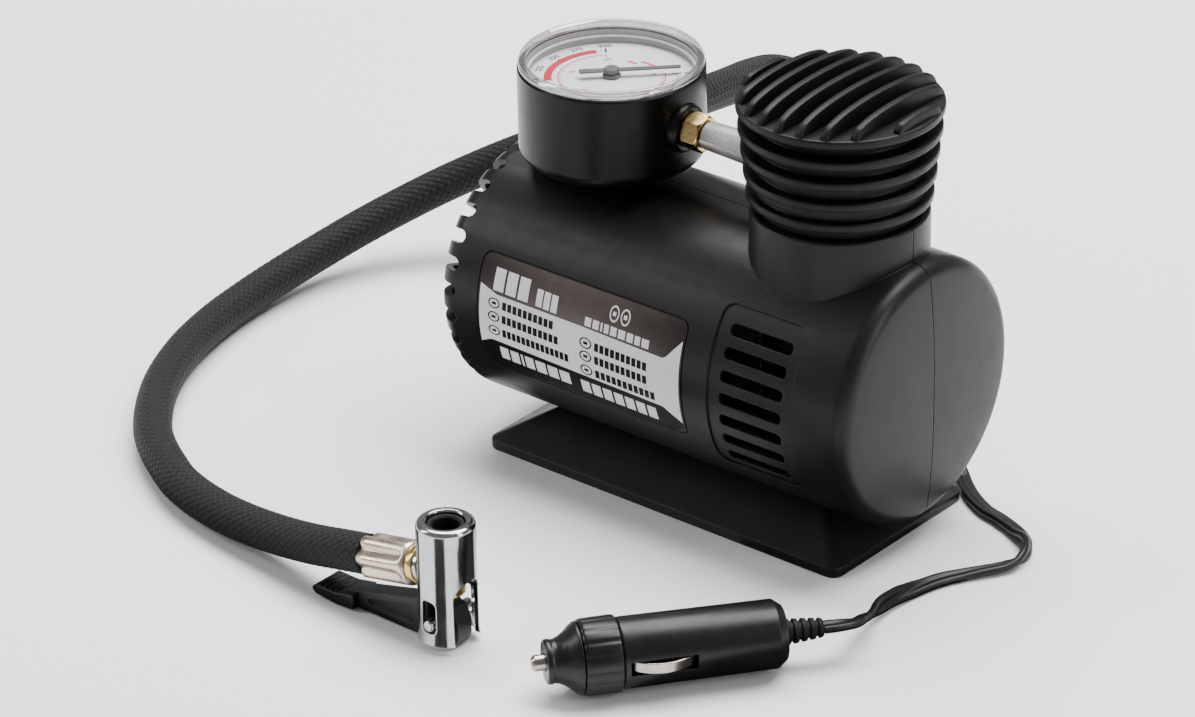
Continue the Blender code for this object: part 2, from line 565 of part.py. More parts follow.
def make_crank():
    axis = at(ALONG_X, (0, 0, GEAR_Z))
    matrix = place((0, 0, GEAR_Z), (0, 0, 1), (1, 0, 0))
    gear = prism("crank_gear", gear_outline(GEAR_TEETH, math.pi), GEAR_X0, GEAR_X1, "nylon", matrix)
    cut_prism(gear, "gear_bore", circle(2.8 * MM, 20), GEAR_X0 - MM, GEAR_X1 + MM, matrix)
    cut_prism(gear, "gear_pin_hole", circle(2.3 * MM, 16, -CRANK_THROW, 0), GEAR_X0 + 1.5 * MM,
              GEAR_X1 + MM, matrix)
    lathe("gear_axle", [(0, 22 * MM), (2.5 * MM, 22 * MM), (2.5 * MM, 34.9 * MM), (4 * MM, 34.9 * MM),
                        (4 * MM, 36.2 * MM), (0, 36.2 * MM)], "steel", 20, axis)
    lathe("crank_pin", [(0, GEAR_X0 + 1.8 * MM), (2.0 * MM, GEAR_X0 + 1.8 * MM),
                        (2.0 * MM, ROD_X0 - 0.4 * MM), (0, ROD_X0 - 0.4 * MM)], "steel", 16,
                        at(ALONG_X, (0, 0, GEAR_Z - CRANK_THROW)))


def make_piston():
    top = Matrix.Translation((HEAD_X, 0, 0))
    groove = (82.2 * MM, 84.2 * MM)
    r = BORE_R - 0.3 * MM
    piston = lathe("piston", [(0, PISTON_Z0), (r, PISTON_Z0), (r, groove[0]), (9.3 * MM, groove[0]),
                              (9.3 * MM, groove[1]), (r, groove[1]), (r, PISTON_Z1), (0, PISTON_Z1)],
                              "cast", 24, top)
    cut_prism(piston, "piston_slot", rect(-3.4 * MM, 3.4 * MM, -5 * MM, 5 * MM), PISTON_Z0 - MM,
              84.6 * MM, top)
    across = at(ALONG_X, (0, 0, WRIST_Z))
    cut_prism(piston, "wrist_hole", circle(1.9 * MM, 16), HEAD_X - 20 * MM, HEAD_X + 20 * MM, across)
    lathe("piston_ring", [(9.6 * MM, groove[0] + 0.2 * MM), (10.85 * MM, groove[0] + 0.2 * MM),
                          (10.85 * MM, groove[1] - 0.2 * MM), (9.6 * MM, groove[1] - 0.2 * MM)], "rubber",
                          24, top)
    lathe("wrist_pin", [(0, HEAD_X - 9.4 * MM), (1.6 * MM, HEAD_X - 9.4 * MM),
                        (1.6 * MM, HEAD_X + 9.4 * MM), (0, HEAD_X + 9.4 * MM)], "steel", 16, across)
    big_end, small_end = GEAR_Z - CRANK_THROW, WRIST_Z
    matrix = place((0, 0, 0), (0, 0, 1), (1, 0, 0))
    outline = []
    for centre, radius, start in ((small_end, 3.4 * MM, -80), (big_end, 4.6 * MM, 100)):
        for i in range(9):
            a = math.radians(start + 20 * i)
            outline.append((centre + radius * math.cos(a), radius * math.sin(a)))
    rod = prism("connecting_rod", outline, ROD_X0, ROD_X1, "cast", matrix)
    cut_prism(rod, "rod_big_end", circle(2.4 * MM, 16, big_end, 0), ROD_X0 - MM, ROD_X1 + MM, matrix)
    cut_prism(rod, "rod_small_end", circle(1.9 * MM, 16, small_end, 0), ROD_X0 - MM, ROD_X1 + MM, matrix)


def make_cylinder():
    top = Matrix.Translation((HEAD_X, 0, 0))
    flange_z = SHELF_Z1 + GAP
    cylinder = lathe("cylinder", [(BORE_R, flange_z), (19.8 * MM, flange_z),
                                  (19.8 * MM, flange_z + 2.2 * MM), (CYL_R, flange_z + 2.2 * MM),
                                  (CYL_R, CYL_TOP), (BORE_R, CYL_TOP)], "cast", 24, top)
    for i, side in enumerate((-1, 1)):
        cut_prism(cylinder, "flange_hole_%d" % i, circle(1.8 * MM, 12, HEAD_X, side * BOLT_Y),
                  flange_z - MM, flange_z + 3.2 * MM)
        bolt = [(0, 70 * MM), (1.5 * MM, 70 * MM), (1.5 * MM, 77.2 * MM), (2.7 * MM, 77.3 * MM),
                (2.7 * MM, 79.2 * MM), (0, 79.2 * MM)]
        lathe("cylinder_bolt_%d" % (i + 1), bolt, "steel", 12,
              Matrix.Translation((HEAD_X, side * BOLT_Y, 0)))


def make_cylinder_head():
    """Cast head with a tapered tube to the gauge and a stub for the hose."""
    top = Matrix.Translation((HEAD_X, 0, 0))
    z0, z1 = CYL_TOP + GAP, 117 * MM
    head = lathe("cylinder_head", [(0, z0), (16 * MM, z0), (16 * MM, z1 - MM), (15 * MM, z1), (0, z1)],
                 "cast", 24, top)
    along = at(ALONG_X, (0, 0, TUBE_Z))
    tube_end = NUT_X1 + GAP
    outlet = [(0, -14 * MM), (2.4 * MM, -14 * MM), (2.4 * MM, tube_end), (4.2 * MM, tube_end),
              (5.6 * MM, 30 * MM), (5.6 * MM, HEAD_X - 4 * MM), (0, HEAD_X - 4 * MM)]
    boolean(head, lathe("head_outlet", outlet, None, 20, along), "UNION")
    stub = lathe("head_stub", [(0, 8 * MM), (5.0 * MM, 8 * MM), (5.0 * MM, 24.4 * MM), (0, 24.4 * MM)],
                 None, 20, place((HEAD_X, 0, HOSE_Z), (0, 0, 1), HOSE_OUT))
    boolean(head, stub, "UNION")


def make_head_cover():
    """Round cover with five ring fins and a crown of upright fins under a low dome."""
    top = Matrix.Translation((HEAD_X, 0, 0))
    low = NECK_TOP + GAP
    profile = [(COVER_BORE, low), (CORE_R, low)]
    for i in reversed(range(len(DISC_R))):
        z1 = DISC_TOP - DISC_PITCH * i
        z0 = z1 - DISC_T
        r = DISC_R[i]
        profile += [(CORE_R, z0), (r, z0), (r, z1)]
        if i:
            profile.append((CORE_R, z1))
    profile += [(0, DISC_TOP), (0, DISC_TOP - 3 * MM), (COVER_BORE, DISC_TOP - 3 * MM)]
    cover = lathe("head_cover", profile, "black", 32, top)
    fins = bmesh.new()
    half = CROWN_FINS // 2
    for k in range(-half, half + 1):
        x = HEAD_X + CROWN_PITCH * k
        add_prism(fins, rect(x - CROWN_FIN_T / 2, x + CROWN_FIN_T / 2, -35 * MM, 35 * MM),
                  DISC_TOP - 1.5 * MM, DISC_TOP + 20 * MM)
    fins = add_object("crown_fins", fins, None)
    rim = DISC_R[0] - 0.1 * MM
    dome = [(0, DISC_TOP - 1.2 * MM), (rim - 0.5 * MM, DISC_TOP - 1.2 * MM)]
    for i in range(5):
        radius = rim * math.cos(math.pi / 2 * (i / 5) ** 1.25)
        dome.append((radius, DISC_TOP + CROWN_H * (1 - (radius / rim) ** 2.2) ** 0.45))
    dome.append((0, DISC_TOP + CROWN_H))
    boolean(fins, lathe("crown_dome", dome, None, 32, top @ Matrix.Rotation(math.radians(4), 4, "Z")),
            "INTERSECT")
    boolean(cover, fins, "UNION")
    cut_prism(cover, "tube_port", circle(6.6 * MM, 18, start=0.1), HEAD_X - 35 * MM, HEAD_X - 12 * MM,
              at(ALONG_X, (0, 0, TUBE_Z)))
    cut_prism(cover, "hose_port", circle(7.6 * MM, 18, start=0.1), 14 * MM, 35 * MM,
              place((HEAD_X, 0, HOSE_Z), (0, 0, 1), HOSE_OUT))


# ================================================================================================
# gauge
# ================================================================================================
def make_gauge():
    top = Matrix.Translation((GAUGE_X, 0, 0))
    inner, floor = GAUGE_R - 2.2 * MM, GAUGE_Z0 + 2.5 * MM
    profile = [(0, GAUGE_Z0 - 2.6 * MM), (9 * MM, GAUGE_Z0 - 2.6 * MM), (9 * MM, GAUGE_Z0)]
    profile += fillet(GAUGE_R - 4 * MM, GAUGE_Z0 + 4 * MM, 4 * MM, 270, 360, 3)
    profile += [(GAUGE_R, GAUGE_Z1), (inner, GAUGE_Z1), (inner, floor), (0, floor)]
    cup = lathe("gauge_cup", profile, "gloss_black", 40, top)
    along = at(ALONG_X, (0, 0, TUBE_Z))
    boss = lathe("gauge_boss", [(0, GAUGE_X + 26.2 * MM), (7.4 * MM, GAUGE_X + 26.2 * MM),
                                (7.4 * MM, BOSS_FACE_X - MM), (6.6 * MM, BOSS_FACE_X), (0, BOSS_FACE_X)],
                                None, 20, along)
    boolean(cup, boss, "UNION")
    cut_prism(cup, "boss_bore", circle(2.9 * MM, 16), GAUGE_X + 18 * MM, BOSS_FACE_X + MM, along)
    lathe("gauge_dial", [(1.2 * MM, DIAL_Z - 0.8 * MM), (25.1 * MM, DIAL_Z - 0.8 * MM), (25.1 * MM, DIAL_Z),
                         (1.2 * MM, DIAL_Z)], "dial", 28, top)
    lathe("gauge_lens", [(0, LENS_TOP - 1.5 * MM), (25.2 * MM, LENS_TOP - 1.5 * MM),
                         (25.4 * MM, GAUGE_Z1 + GAP), (27.4 * MM, GAUGE_Z1 + GAP),
                         (27.4 * MM, LENS_TOP - 0.9 * MM), (26.5 * MM, LENS_TOP), (0, LENS_TOP)], "lens",
                         36, top)
    lathe("gauge_movement", [(0, floor + GAP), (8 * MM, floor + GAP), (8 * MM, 101 * MM),
                             (5 * MM, 102 * MM), (5 * MM, 112 * MM), (0, 112 * MM)], "brass", 20, top)
    arc = [Vector((GAUGE_X + 17 * MM * math.cos(a), 17 * MM * math.sin(a), 104 * MM))
           for a in (math.radians(-20 - 12 * i) for i in range(20))]
    tube("bourdon_tube", arc, 1.4 * MM, "copper", 1)
    make_pointer()


def make_pointer():
    """Pointer, hub and spindle; it rests on the zero mark, back and to the right."""
    pivot = Matrix.Translation((GAUGE_X, 0, 0)) @ Matrix.Rotation(math.radians(45), 4, "Z")
    z0, z1 = DIAL_Z + 0.9 * MM, DIAL_Z + 1.4 * MM
    outline = [(-10.5, -1.5), (-3.0, -1.1), (3.0, -1.0), (20.5, -0.5), (20.5, 0.5), (3.0, 1.0), (-3.0, 1.1),
               (-10.5, 1.5)]
    pointer = prism("gauge_pointer", [(x * MM, y * MM) for x, y in outline], z0, z1, "steel", pivot)
    hub = lathe("pointer_hub", [(0, 112.4 * MM), (0.8 * MM, 112.4 * MM), (0.8 * MM, DIAL_Z + 0.5 * MM),
                                (2.3 * MM, DIAL_Z + 0.5 * MM), (2.3 * MM, z1 + 0.7 * MM),
                                (0, z1 + 0.7 * MM)], None, 16,
                pivot)
    boolean(pointer, hub, "UNION")


def make_nut():
    matrix = at(ALONG_X, (0, 0, TUBE_Z))
    flat, corner = NUT_FLATS / 2 - 0.1 * MM, NUT_FLATS / math.sqrt(3)
    nut = prism("outlet_nut", circle(corner, 6, start=math.radians(12)), NUT_X0, NUT_X1, "brass", matrix)
    low, high = NUT_X0 - 0.1 * MM, NUT_X1 + 0.1 * MM
    chamfer = [(0, low), (flat, low), (corner + 0.2 * MM, low + 1.1 * MM),
               (corner + 0.2 * MM, high - 1.1 * MM), (flat, high), (0, high)]
    boolean(nut, lathe("nut_chamfer", chamfer, None, 30, matrix), "INTERSECT")
    cut_prism(nut, "nut_bore", circle(2.75 * MM, 20), NUT_X0 - MM, NUT_X1 + MM, matrix)


# ================================================================================================
# hose and chuck
# ================================================================================================
def hose_point(distance):
    return Vector((HEAD_X, 0, HOSE_Z)) + HOSE_OUT * distance


def tail_point(distance):
    """Point on the axis of the chuck's tail, measured from the chuck's own axis."""
    return Vector((CHUCK_X - distance * math.cos(TAIL_TILT), CHUCK_Y,
                   TAIL_Z - distance * math.sin(TAIL_TILT)))


def make_hose():
    out = place((HEAD_X, 0, HOSE_Z), (0, 0, 1), HOSE_OUT)
    prism("hose_union", circle(6.4 * MM, 6), 24.7 * MM, 29.4 * MM, "brass", out)
    lathe("hose_root_ferrule", [(0, 29.7 * MM), (6.3 * MM, 29.7 * MM), (6.6 * MM, 30.2 * MM),
                                (6.6 * MM, 35.6 * MM), (6.3 * MM, 36.1 * MM), (0, 36.1 * MM)], "nickel",
                                24, out)
    ends = [hose_point(36.4 * MM), hose_point(46 * MM), tail_point(FERRULE_S[1] + GAP + 9 * MM),
            tail_point(FERRULE_S[1] + GAP)]
    route = [tuple(p / MM) for p in ends[:2]] + HOSE_ROUTE + [tuple(p / MM) for p in ends[2:]]
    tube("air_hose", smooth_route(route, 17 * MM), HOSE_D / 2, "braid", 3)
    tail = place(tail_point(0), (0, 1, 0), tail_point(1) - tail_point(0))
    s0, s1 = FERRULE_S
    ferrule = [(4.4 * MM, s0), (FERRULE_R - 0.5 * MM, s0), (FERRULE_R, s0 + 0.8 * MM),
               (FERRULE_R, s1 - 0.6 * MM), (FERRULE_R - 0.6 * MM, s1), (0, s1), (0, s1 - 1.2 * MM),
               (4.4 * MM, s1 - 1.2 * MM)]
    lathe("hose_ferrule", ferrule, "nickel", 24, tail)


def make_chuck():
    axis = Matrix.Translation((CHUCK_X, CHUCK_Y, 0))
    shell = 7.3 * MM
    profile = [(shell, CHUCK_Z0), (CHUCK_R + 0.2 * MM, CHUCK_Z0), (CHUCK_R, CHUCK_Z0 + 2.5 * MM)]
    profile += fillet(CHUCK_R - 1.6 * MM, CHUCK_Z1 - 1.6 * MM, 1.6 * MM, 0, 90, 2)
    profile += [(CHUCK_BORE + 0.3 * MM, CHUCK_Z1), (CHUCK_BORE, CHUCK_Z1 - 0.3 * MM),
                (CHUCK_BORE, 17.2 * MM), (shell, 17.0 * MM)]
    chuck = lathe("chuck_body", profile, "chrome", 24, axis)
    tail = place(tail_point(0), (0, 1, 0), tail_point(1) - tail_point(0))
    stub = lathe("chuck_tail", [(0, 7.2 * MM), (5.4 * MM, 7.2 * MM), (5.4 * MM, 11.0 * MM),
                                (3.9 * MM, 11.0 * MM), (3.9 * MM, 27 * MM), (0, 27 * MM)], None, 20, tail)
    boolean(chuck, stub, "UNION")
    side = at(ALONG_X, (0, CHUCK_Y, 0))
    arch_r, arch_z = 5.2 * MM, 17 * MM
    arch = [(-arch_r, 0)] + fillet(0, arch_z, arch_r, 180, 0, 5) + [(arch_r, 0)]
    cut_prism(chuck, "chuck_arch", arch, CHUCK_X + 3 * MM, CHUCK_X + 12 * MM, side)
    cut_prism(chuck, "chuck_lever_slot", rect(-4.6 * MM, 4.6 * MM, 0, 15.2 * MM), CHUCK_X - 12 * MM,
              CHUCK_X - 3 * MM, side)
    eyelet = rounded_rect(6.0 * MM, 16.4 * MM, CHUCK_X - 2.5 * MM, CHUCK_X + 2.5 * MM, 2.48 * MM, 4)
    cut_prism(chuck, "chuck_eyelets", eyelet, CHUCK_Y - 12 * MM, CHUCK_Y + 12 * MM, ALONG_Y)
    seal = [(SEAL_BORE, 27.5 * MM), (5.3 * MM, 27.5 * MM), (5.3 * MM, 37.8 * MM),
            (SEAL_BORE + 0.6 * MM, 37.8 * MM), (SEAL_BORE, 37.2 * MM)]
    lathe("chuck_seal", seal, "rubber", 20, axis)
    lathe("chuck_depressor", [(0, 16.4 * MM), (5.2 * MM, 16.4 * MM), (5.2 * MM, 19 * MM),
                              (1.1 * MM, 19.4 * MM), (1.1 * MM, 30.6 * MM), (0, 31 * MM)], "brass", 16,
                              axis)


def make_chuck_lever():
    """Thumb lever with a cam inside the chuck; its pivot pin runs across."""
    arm = [(-34.0, 0.9), (-12.0, 0.45), (2.0, 0.35), (5.2, 0.6), (6.7, 3.4), (6.8, 8.4), (5.0, 12.4),
           (0.8, 14.2), (-4.0, 12.9), (-11.3, 11.1), (-30.0, 6.4), (-34.0, 5.0)]
    paddle = [(-46.6, 2.2), (-45.6, 1.2), (-38.0, 0.5), (-31.0, 0.8), (-31.0, 5.6), (-38.0, 4.1),
              (-45.6, 4.3), (-46.6, 3.2)]
    matrix = at(ALONG_Y, (0, CHUCK_Y, 0))
    lever = prism("chuck_lever", [(z * MM, x * MM) for x, z in arm], -3.0 * MM, 3.0 * MM, "black", matrix)
    pad = prism("lever_paddle", [(z * MM, x * MM) for x, z in paddle], -5.2 * MM, 5.2 * MM, None, matrix)
    boolean(lever, pad, "UNION")
    cut_prism(lever, "lever_hole", circle(2.0 * MM, 16, PIVOT_Z, CHUCK_X), -9 * MM, 9 * MM, matrix)
    lathe("chuck_pivot_pin", [(0, -8.9 * MM), (1.3 * MM, -8.9 * MM), (1.7 * MM, -8.5 * MM),
                              (1.7 * MM, 8.5 * MM), (1.3 * MM, 8.9 * MM), (0, 8.9 * MM)], "chrome", 16,
          at(ALONG_Y, (CHUCK_X, CHUCK_Y, PIVOT_Z)))


# ================================================================================================
# power cord and plug
# ================================================================================================
def plug_matrix():
    return place(PLUG_TIP, (0, 0, 1), PLUG_DIR)


def make_cord():
    gland = radial_matrix(math.pi - GLAND_ANGLE, GLAND_X)
    lathe("cord_gland", [(0, 36.5 * MM), (3.9 * MM, 36.5 * MM), (3.9 * MM, 40.6 * MM),
                         (5.3 * MM, 40.8 * MM), (5.3 * MM, 42.2 * MM), (3.3 * MM, 42.6 * MM),
                         (2.9 * MM, 46.4 * MM), (0, 46.4 * MM)],
          "rubber", 20, gland)
    ends = [gland @ Vector((0, 0, 46.7 * MM)), gland @ Vector((0, 0, 51 * MM)),
            PLUG_TIP + PLUG_DIR * (PLUG_LEN + GAP + 4.5 * MM), PLUG_TIP + PLUG_DIR * (PLUG_LEN + GAP)]
    route = [tuple(p / MM) for p in ends[:2]] + CORD_ROUTE + [tuple(p / MM) for p in ends[2:]]
    tube("power_cord", smooth_route(route, 6.5 * MM), CORD_R, "rubber", 2)


def make_plug():
    matrix = plug_matrix()
    body = lathe("plug_body", [(7.2 * MM, 15 * MM), (8.3 * MM, 15 * MM), (8.3 * MM, 24.5 * MM),
                               (9.7 * MM, 24.5 * MM), (10.1 * MM, 25.0 * MM), (9.7 * MM, 69.0 * MM),
                               (7.6 * MM, 71.4 * MM), (0, 71.4 * MM), (0, 55 * MM), (7.2 * MM, 55 * MM)],
                               "black", 24, matrix)
    slot = rect(-2.7 * MM, 2.7 * MM, -14 * MM, 14 * MM)
    cut_prism(body, "contact_slots", slot, 26.2 * MM, 45.2 * MM, matrix)
    collar = prism("plug_collar", collar_outline(11.0 * MM), 13.7 * MM, 24.2 * MM, "gloss_black", matrix,
                   collar_outline(10.65 * MM))
    cut_prism(collar, "collar_bore", circle(8.6 * MM, 24), 12 * MM, 26 * MM, matrix)
    nose = [(2.7 * MM, 3.9 * MM), (6.0 * MM, 3.9 * MM), (6.4 * MM, 4.4 * MM), (6.4 * MM, 5.4 * MM),
            (6.0 * MM, 6.0 * MM), (7.2 * MM, 8.4 * MM), (9.4 * MM, 11.4 * MM), (10.4 * MM, 13.4 * MM),
            (7.2 * MM, 13.4 * MM), (7.2 * MM, 9.5 * MM), (2.7 * MM, 9.5 * MM)]
    lathe("plug_nose", nose, "gloss_black", 20, matrix)
    lathe("plug_tip", [(0, 0), (1.5 * MM, 0.2 * MM), (2.35 * MM, 1.1 * MM), (2.35 * MM, 9.8 * MM),
                       (5.4 * MM, 9.8 * MM), (5.4 * MM, 11.3 * MM), (0, 11.3 * MM)], "nickel", 16, matrix)
    lathe("plug_fuse", [(0, 17 * MM), (3.1 * MM, 17 * MM), (3.1 * MM, 47 * MM), (0, 47 * MM)], "lens", 20,
          matrix)
    for name, side in (("plug_contact_front", 1), ("plug_contact_rear", -1)):
        arc = []
        for i in range(9):
            u = i / 8 * 2 - 1
            arc.append((side * (11.5 - 2.9 * u * u) * MM, (35.7 + 8.7 * u) * MM))
        inner = [(y - side * CONTACT_T, z) for y, z in reversed(arc)]
        sideways = matrix @ Matrix(((0, 0, 1, 0), (1, 0, 0, 0), (0, 1, 0, 0), (0, 0, 0, 1)))
        prism(name, arc + inner, -2.2 * MM, 2.2 * MM, "nickel", sideways)
    ribs = [(0, 71.8 * MM), (3.7 * MM, 71.8 * MM)]
    for i in range(4):
        s = (73.0 + 2.4 * i) * MM
        r = (3.6 - 0.22 * i) * MM
        ribs += [(r, s), (r - 0.8 * MM, s + 0.2 * MM), (r - 0.8 * MM, s + 1.0 * MM)]
        if i < 3:
            ribs.append((r - 0.22 * MM, s + 1.2 * MM))
    ribs += [(2.7 * MM, 81.6 * MM), (2.7 * MM, PLUG_LEN), (0, PLUG_LEN)]
    lathe("plug_strain_relief", ribs, "rubber", 12, matrix)


def collar_outline(radius, facets=18):
    """Knurled ring: shallow notches between the facets."""
    points = []
    for i in range(facets):
        for share, depth in ((0.0, 0.0), (0.7, 0.0), (0.85, 0.45 * MM)):
            a = 2 * math.pi * (i + share) / facets
            points.append(((radius - depth) * math.cos(a), (radius - depth) * math.sin(a)))
    return points


def main():
    clear_scene()
    make_base()
    make_housing()
    make_label()
    make_switch()
    make_motor()
    make_frame()
    make_crank()
    make_piston()
    make_cylinder()
    make_cylinder_head()
    make_head_cover()
    make_gauge()
    make_nut()
    make_hose()
    make_chuck()
    make_chuck_lever()
    make_cord()
    make_plug()


main()
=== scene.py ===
"""Looks of the portable tire inflator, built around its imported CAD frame. Lengths are in millimetres
until a mesh or curve is made, where MM turns them into metres."""
import math

import bmesh
import bpy
from mathutils import Matrix, Vector


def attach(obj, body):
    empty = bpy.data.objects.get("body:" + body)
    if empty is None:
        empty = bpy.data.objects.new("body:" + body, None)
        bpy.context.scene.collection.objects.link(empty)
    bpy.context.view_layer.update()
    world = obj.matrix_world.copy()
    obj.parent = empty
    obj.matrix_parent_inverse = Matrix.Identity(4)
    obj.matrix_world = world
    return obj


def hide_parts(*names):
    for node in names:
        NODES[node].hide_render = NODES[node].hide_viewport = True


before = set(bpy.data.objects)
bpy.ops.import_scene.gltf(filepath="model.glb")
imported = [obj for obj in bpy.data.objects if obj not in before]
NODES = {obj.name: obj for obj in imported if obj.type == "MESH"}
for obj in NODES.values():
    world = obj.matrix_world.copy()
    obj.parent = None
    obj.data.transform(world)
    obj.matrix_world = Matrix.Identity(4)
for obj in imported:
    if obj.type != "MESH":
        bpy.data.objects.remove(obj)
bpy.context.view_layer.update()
MM = 0.001
ROOT = "inflator"
SCENE = bpy.context.scene


# ---- camera, light and floor ---------------------------------------------------------
CAMERA_PLACE = (0.83222, -1.03966, 0.72741)
CAMERA_TURN = (40.259, 27.351, -1.094)
CAMERA_LENS = 153.545
CARD_REACH = (13, 150)
FLOOR = 6.0


def make_camera():
    az, el, roll = (math.radians(a) for a in CAMERA_TURN)
    back = Vector((math.sin(az) * math.cos(el), -math.cos(az) * math.cos(el), math.sin(el)))
    right = (-back).cross(Vector((0, 0, 1))).normalized()
    up = right.cross(-back)
    turned_right = math.cos(roll) * right + math.sin(roll) * up
    turned_up = math.cos(roll) * up - math.sin(roll) * right
    axes = Matrix((turned_right, turned_up, back)).transposed()
    data = bpy.data.cameras.new("camera")
    data.sensor_width = 36.0
    data.lens = CAMERA_LENS
    data.clip_start, data.clip_end = 0.05, 20.0
    cam = bpy.data.objects.new("camera", data)
    SCENE.collection.objects.link(cam)
    cam.matrix_world = Matrix.Translation(CAMERA_PLACE) @ axes.to_4x4()
    SCENE.camera = cam


def area_light(name, place, target, width, height, watts):
    data = bpy.data.lights.new(name, "AREA")
    data.shape = "RECTANGLE"
    data.size, data.size_y = width, height
    data.energy = watts
    light = bpy.data.objects.new(name, data)
    SCENE.collection.objects.link(light)
    light.location = place
    light.rotation_mode = "QUATERNION"
    light.rotation_quaternion = (Vector(target) - Vector(place)).to_track_quat("-Z", "Y")


def make_light():
    world = bpy.data.worlds.new("studio")
    SCENE.world = world
    world.use_nodes = True
    world.node_tree.nodes["Background"].inputs["Color"].default_value = (1.0, 1.0, 1.0, 1.0)
    world.node_tree.nodes["Background"].inputs["Strength"].default_value = 0.26
    area_light("overhead", (-0.1, 0.55, 1.7), (-0.02, 0.05, 0.0), 2.2, 1.1, 92)
    area_light("left_strip", (-1.1, -0.8, 0.8), (0, 0, 0.05), 0.3, 1.0, 8)
    area_light("right_strip", (1.5, 0.1, 0.7), (0.02, 0, 0.06), 0.3, 1.1, 9)


def sheet(name, points, mat):
    """A flat sheet of the studio round the object."""
    mesh = bpy.data.meshes.new(name)
    mesh.from_pydata(points, [], [tuple(range(len(points)))])
    mesh.materials.append(mat)
    obj = bpy.data.objects.new(name, mesh)
    SCENE.collection.objects.link(obj)
    return obj


def make_cards():
    """Black cards on the floor round the chuck, seen only as dark bands in its chrome."""
    mat, tree, shader = material("black_felt")
    feed(tree, shader, {"Base Color": ramp(tree, noise(tree, 0.05, 2), grey(0.004), grey(0.007)),
                        "Roughness": 0.9})
    for k, (start, end) in enumerate(((-92, -54), (8, 72), (128, 196))):
        points = arc(CHUCK.x, CHUCK.y, CARD_REACH[0], start, end, 12)
        points += arc(CHUCK.x, CHUCK.y, CARD_REACH[1], end, start, 12)
        card = sheet("card_%d" % k, [(x * MM, y * MM, 0.4 * MM) for x, y in points], mat)
        for ray in ("camera", "diffuse", "shadow", "transmission"):
            setattr(card, "visible_" + ray, False)


def make_floor():
    mat, tree, shader = material("floor_paper")
    tint = ramp(tree, noise(tree, 0.004, 2), (0.95, 0.95, 0.955), (0.97, 0.97, 0.975))
    feed(tree, shader, {"Base Color": tint, "Roughness": 0.85})
    corners = [(x, y, 0) for x, y in box_outline(-FLOOR, FLOOR, -FLOOR, FLOOR)]
    sheet("floor", corners, mat)


# ---- materials -----------------------------------------------------------------------
def material(name):
    mat = bpy.data.materials.new(name)
    mat.use_nodes = True
    return mat, mat.node_tree, mat.node_tree.nodes["Principled BSDF"]


def feed(tree, node, inputs):
    """Sets a node's inputs, each to a value or to another node's output."""
    for key, value in inputs.items():
        if isinstance(value, bpy.types.NodeSocket):
            tree.links.new(value, node.inputs[key])
        else:
            node.inputs[key].default_value = value


def add(tree, kind, inputs, **settings):
    node = tree.nodes.new("ShaderNode" + kind)
    for key, value in settings.items():
        setattr(node, key, value)
    feed(tree, node, inputs)
    return node


def mm_coords(tree, stretch=(1, 1, 1)):
    """Object coordinates in millimetres, stretched along an axis where a grain runs."""
    inputs = {0: add(tree, "TexCoord", {}).outputs["Object"], 1: [1000 * s for s in stretch]}
    return add(tree, "VectorMath", inputs, operation="MULTIPLY").outputs[0]


def noise(tree, per_mm, detail=3, stretch=(1, 1, 1), rough=0.55):
    inputs = {"Scale": per_mm, "Detail": detail, "Roughness": rough, "Vector": mm_coords(tree, stretch)}
    return add(tree, "TexNoise", inputs).outputs["Fac"]


def ramp(tree, fac, low, high, start=0.3, end=0.7):
    node = add(tree, "ValToRGB", {0: fac})
    for element, position, colour in zip(node.color_ramp.elements, (start, end), (low, high)):
        element.position, element.color = position, (*colour, 1)
    return node.outputs[0]


def calc(tree, operation, a, b=0.0):
    return add(tree, "Math", {0: a, 1: b}, operation=operation).outputs[0]


def times(tree, a, b):
    return calc(tree, "MULTIPLY", a, b)


def plus(tree, a, b):
    return calc(tree, "ADD", a, b)


def span(tree, fac, low, high, from_low=0.3, from_high=0.7):
    limits = {"From Min": from_low, "From Max": from_high, "To Min": low, "To Max": high}
    return add(tree, "MapRange", {**limits, "Value": fac}).outputs[0]


def bump(tree, height, depth_mm, strength=1.0, normal=None):
    inputs = {"Strength": strength, "Distance": depth_mm * MM, "Height": height}
    if normal:
        inputs["Normal"] = normal
    return add(tree, "Bump", inputs).outputs[0]


def rounded_normal(tree, edge):
    """Shading normal that rounds sharp edges by edge mm."""
    return add(tree, "Bevel", {"Radius": edge * MM}, samples=6).outputs[0]


def mixed(tree, a, b, share):
    return plus(tree, times(tree, a, 1 - share), times(tree, b, share))


def moulded(name, low, high, rough, spread, grain=0.35, depth=0.02, metallic=0.0, edge=0.0, specular=0.3):
    """A surface with fine grain, soft patches of tone and gloss, and edges rounded by edge mm."""
    mat, tree, shader = material(name)
    patches = noise(tree, 0.045, 4)
    fine = noise(tree, 1 / grain, 2)
    colour = ramp(tree, mixed(tree, patches, fine, 0.35), low, high, 0.36, 0.64)
    scuffs = noise(tree, 0.16, 5, (1, 1, 1), 0.7)
    normal = rounded_normal(tree, edge) if edge else None
    feed(tree, shader, {"Base Color": colour, "Roughness": span(tree, scuffs, rough - spread, rough + spread),
                        "Metallic": metallic, "Specular IOR Level": specular,
                        "Normal": bump(tree, fine, depth, 1.0, normal)})
    return mat


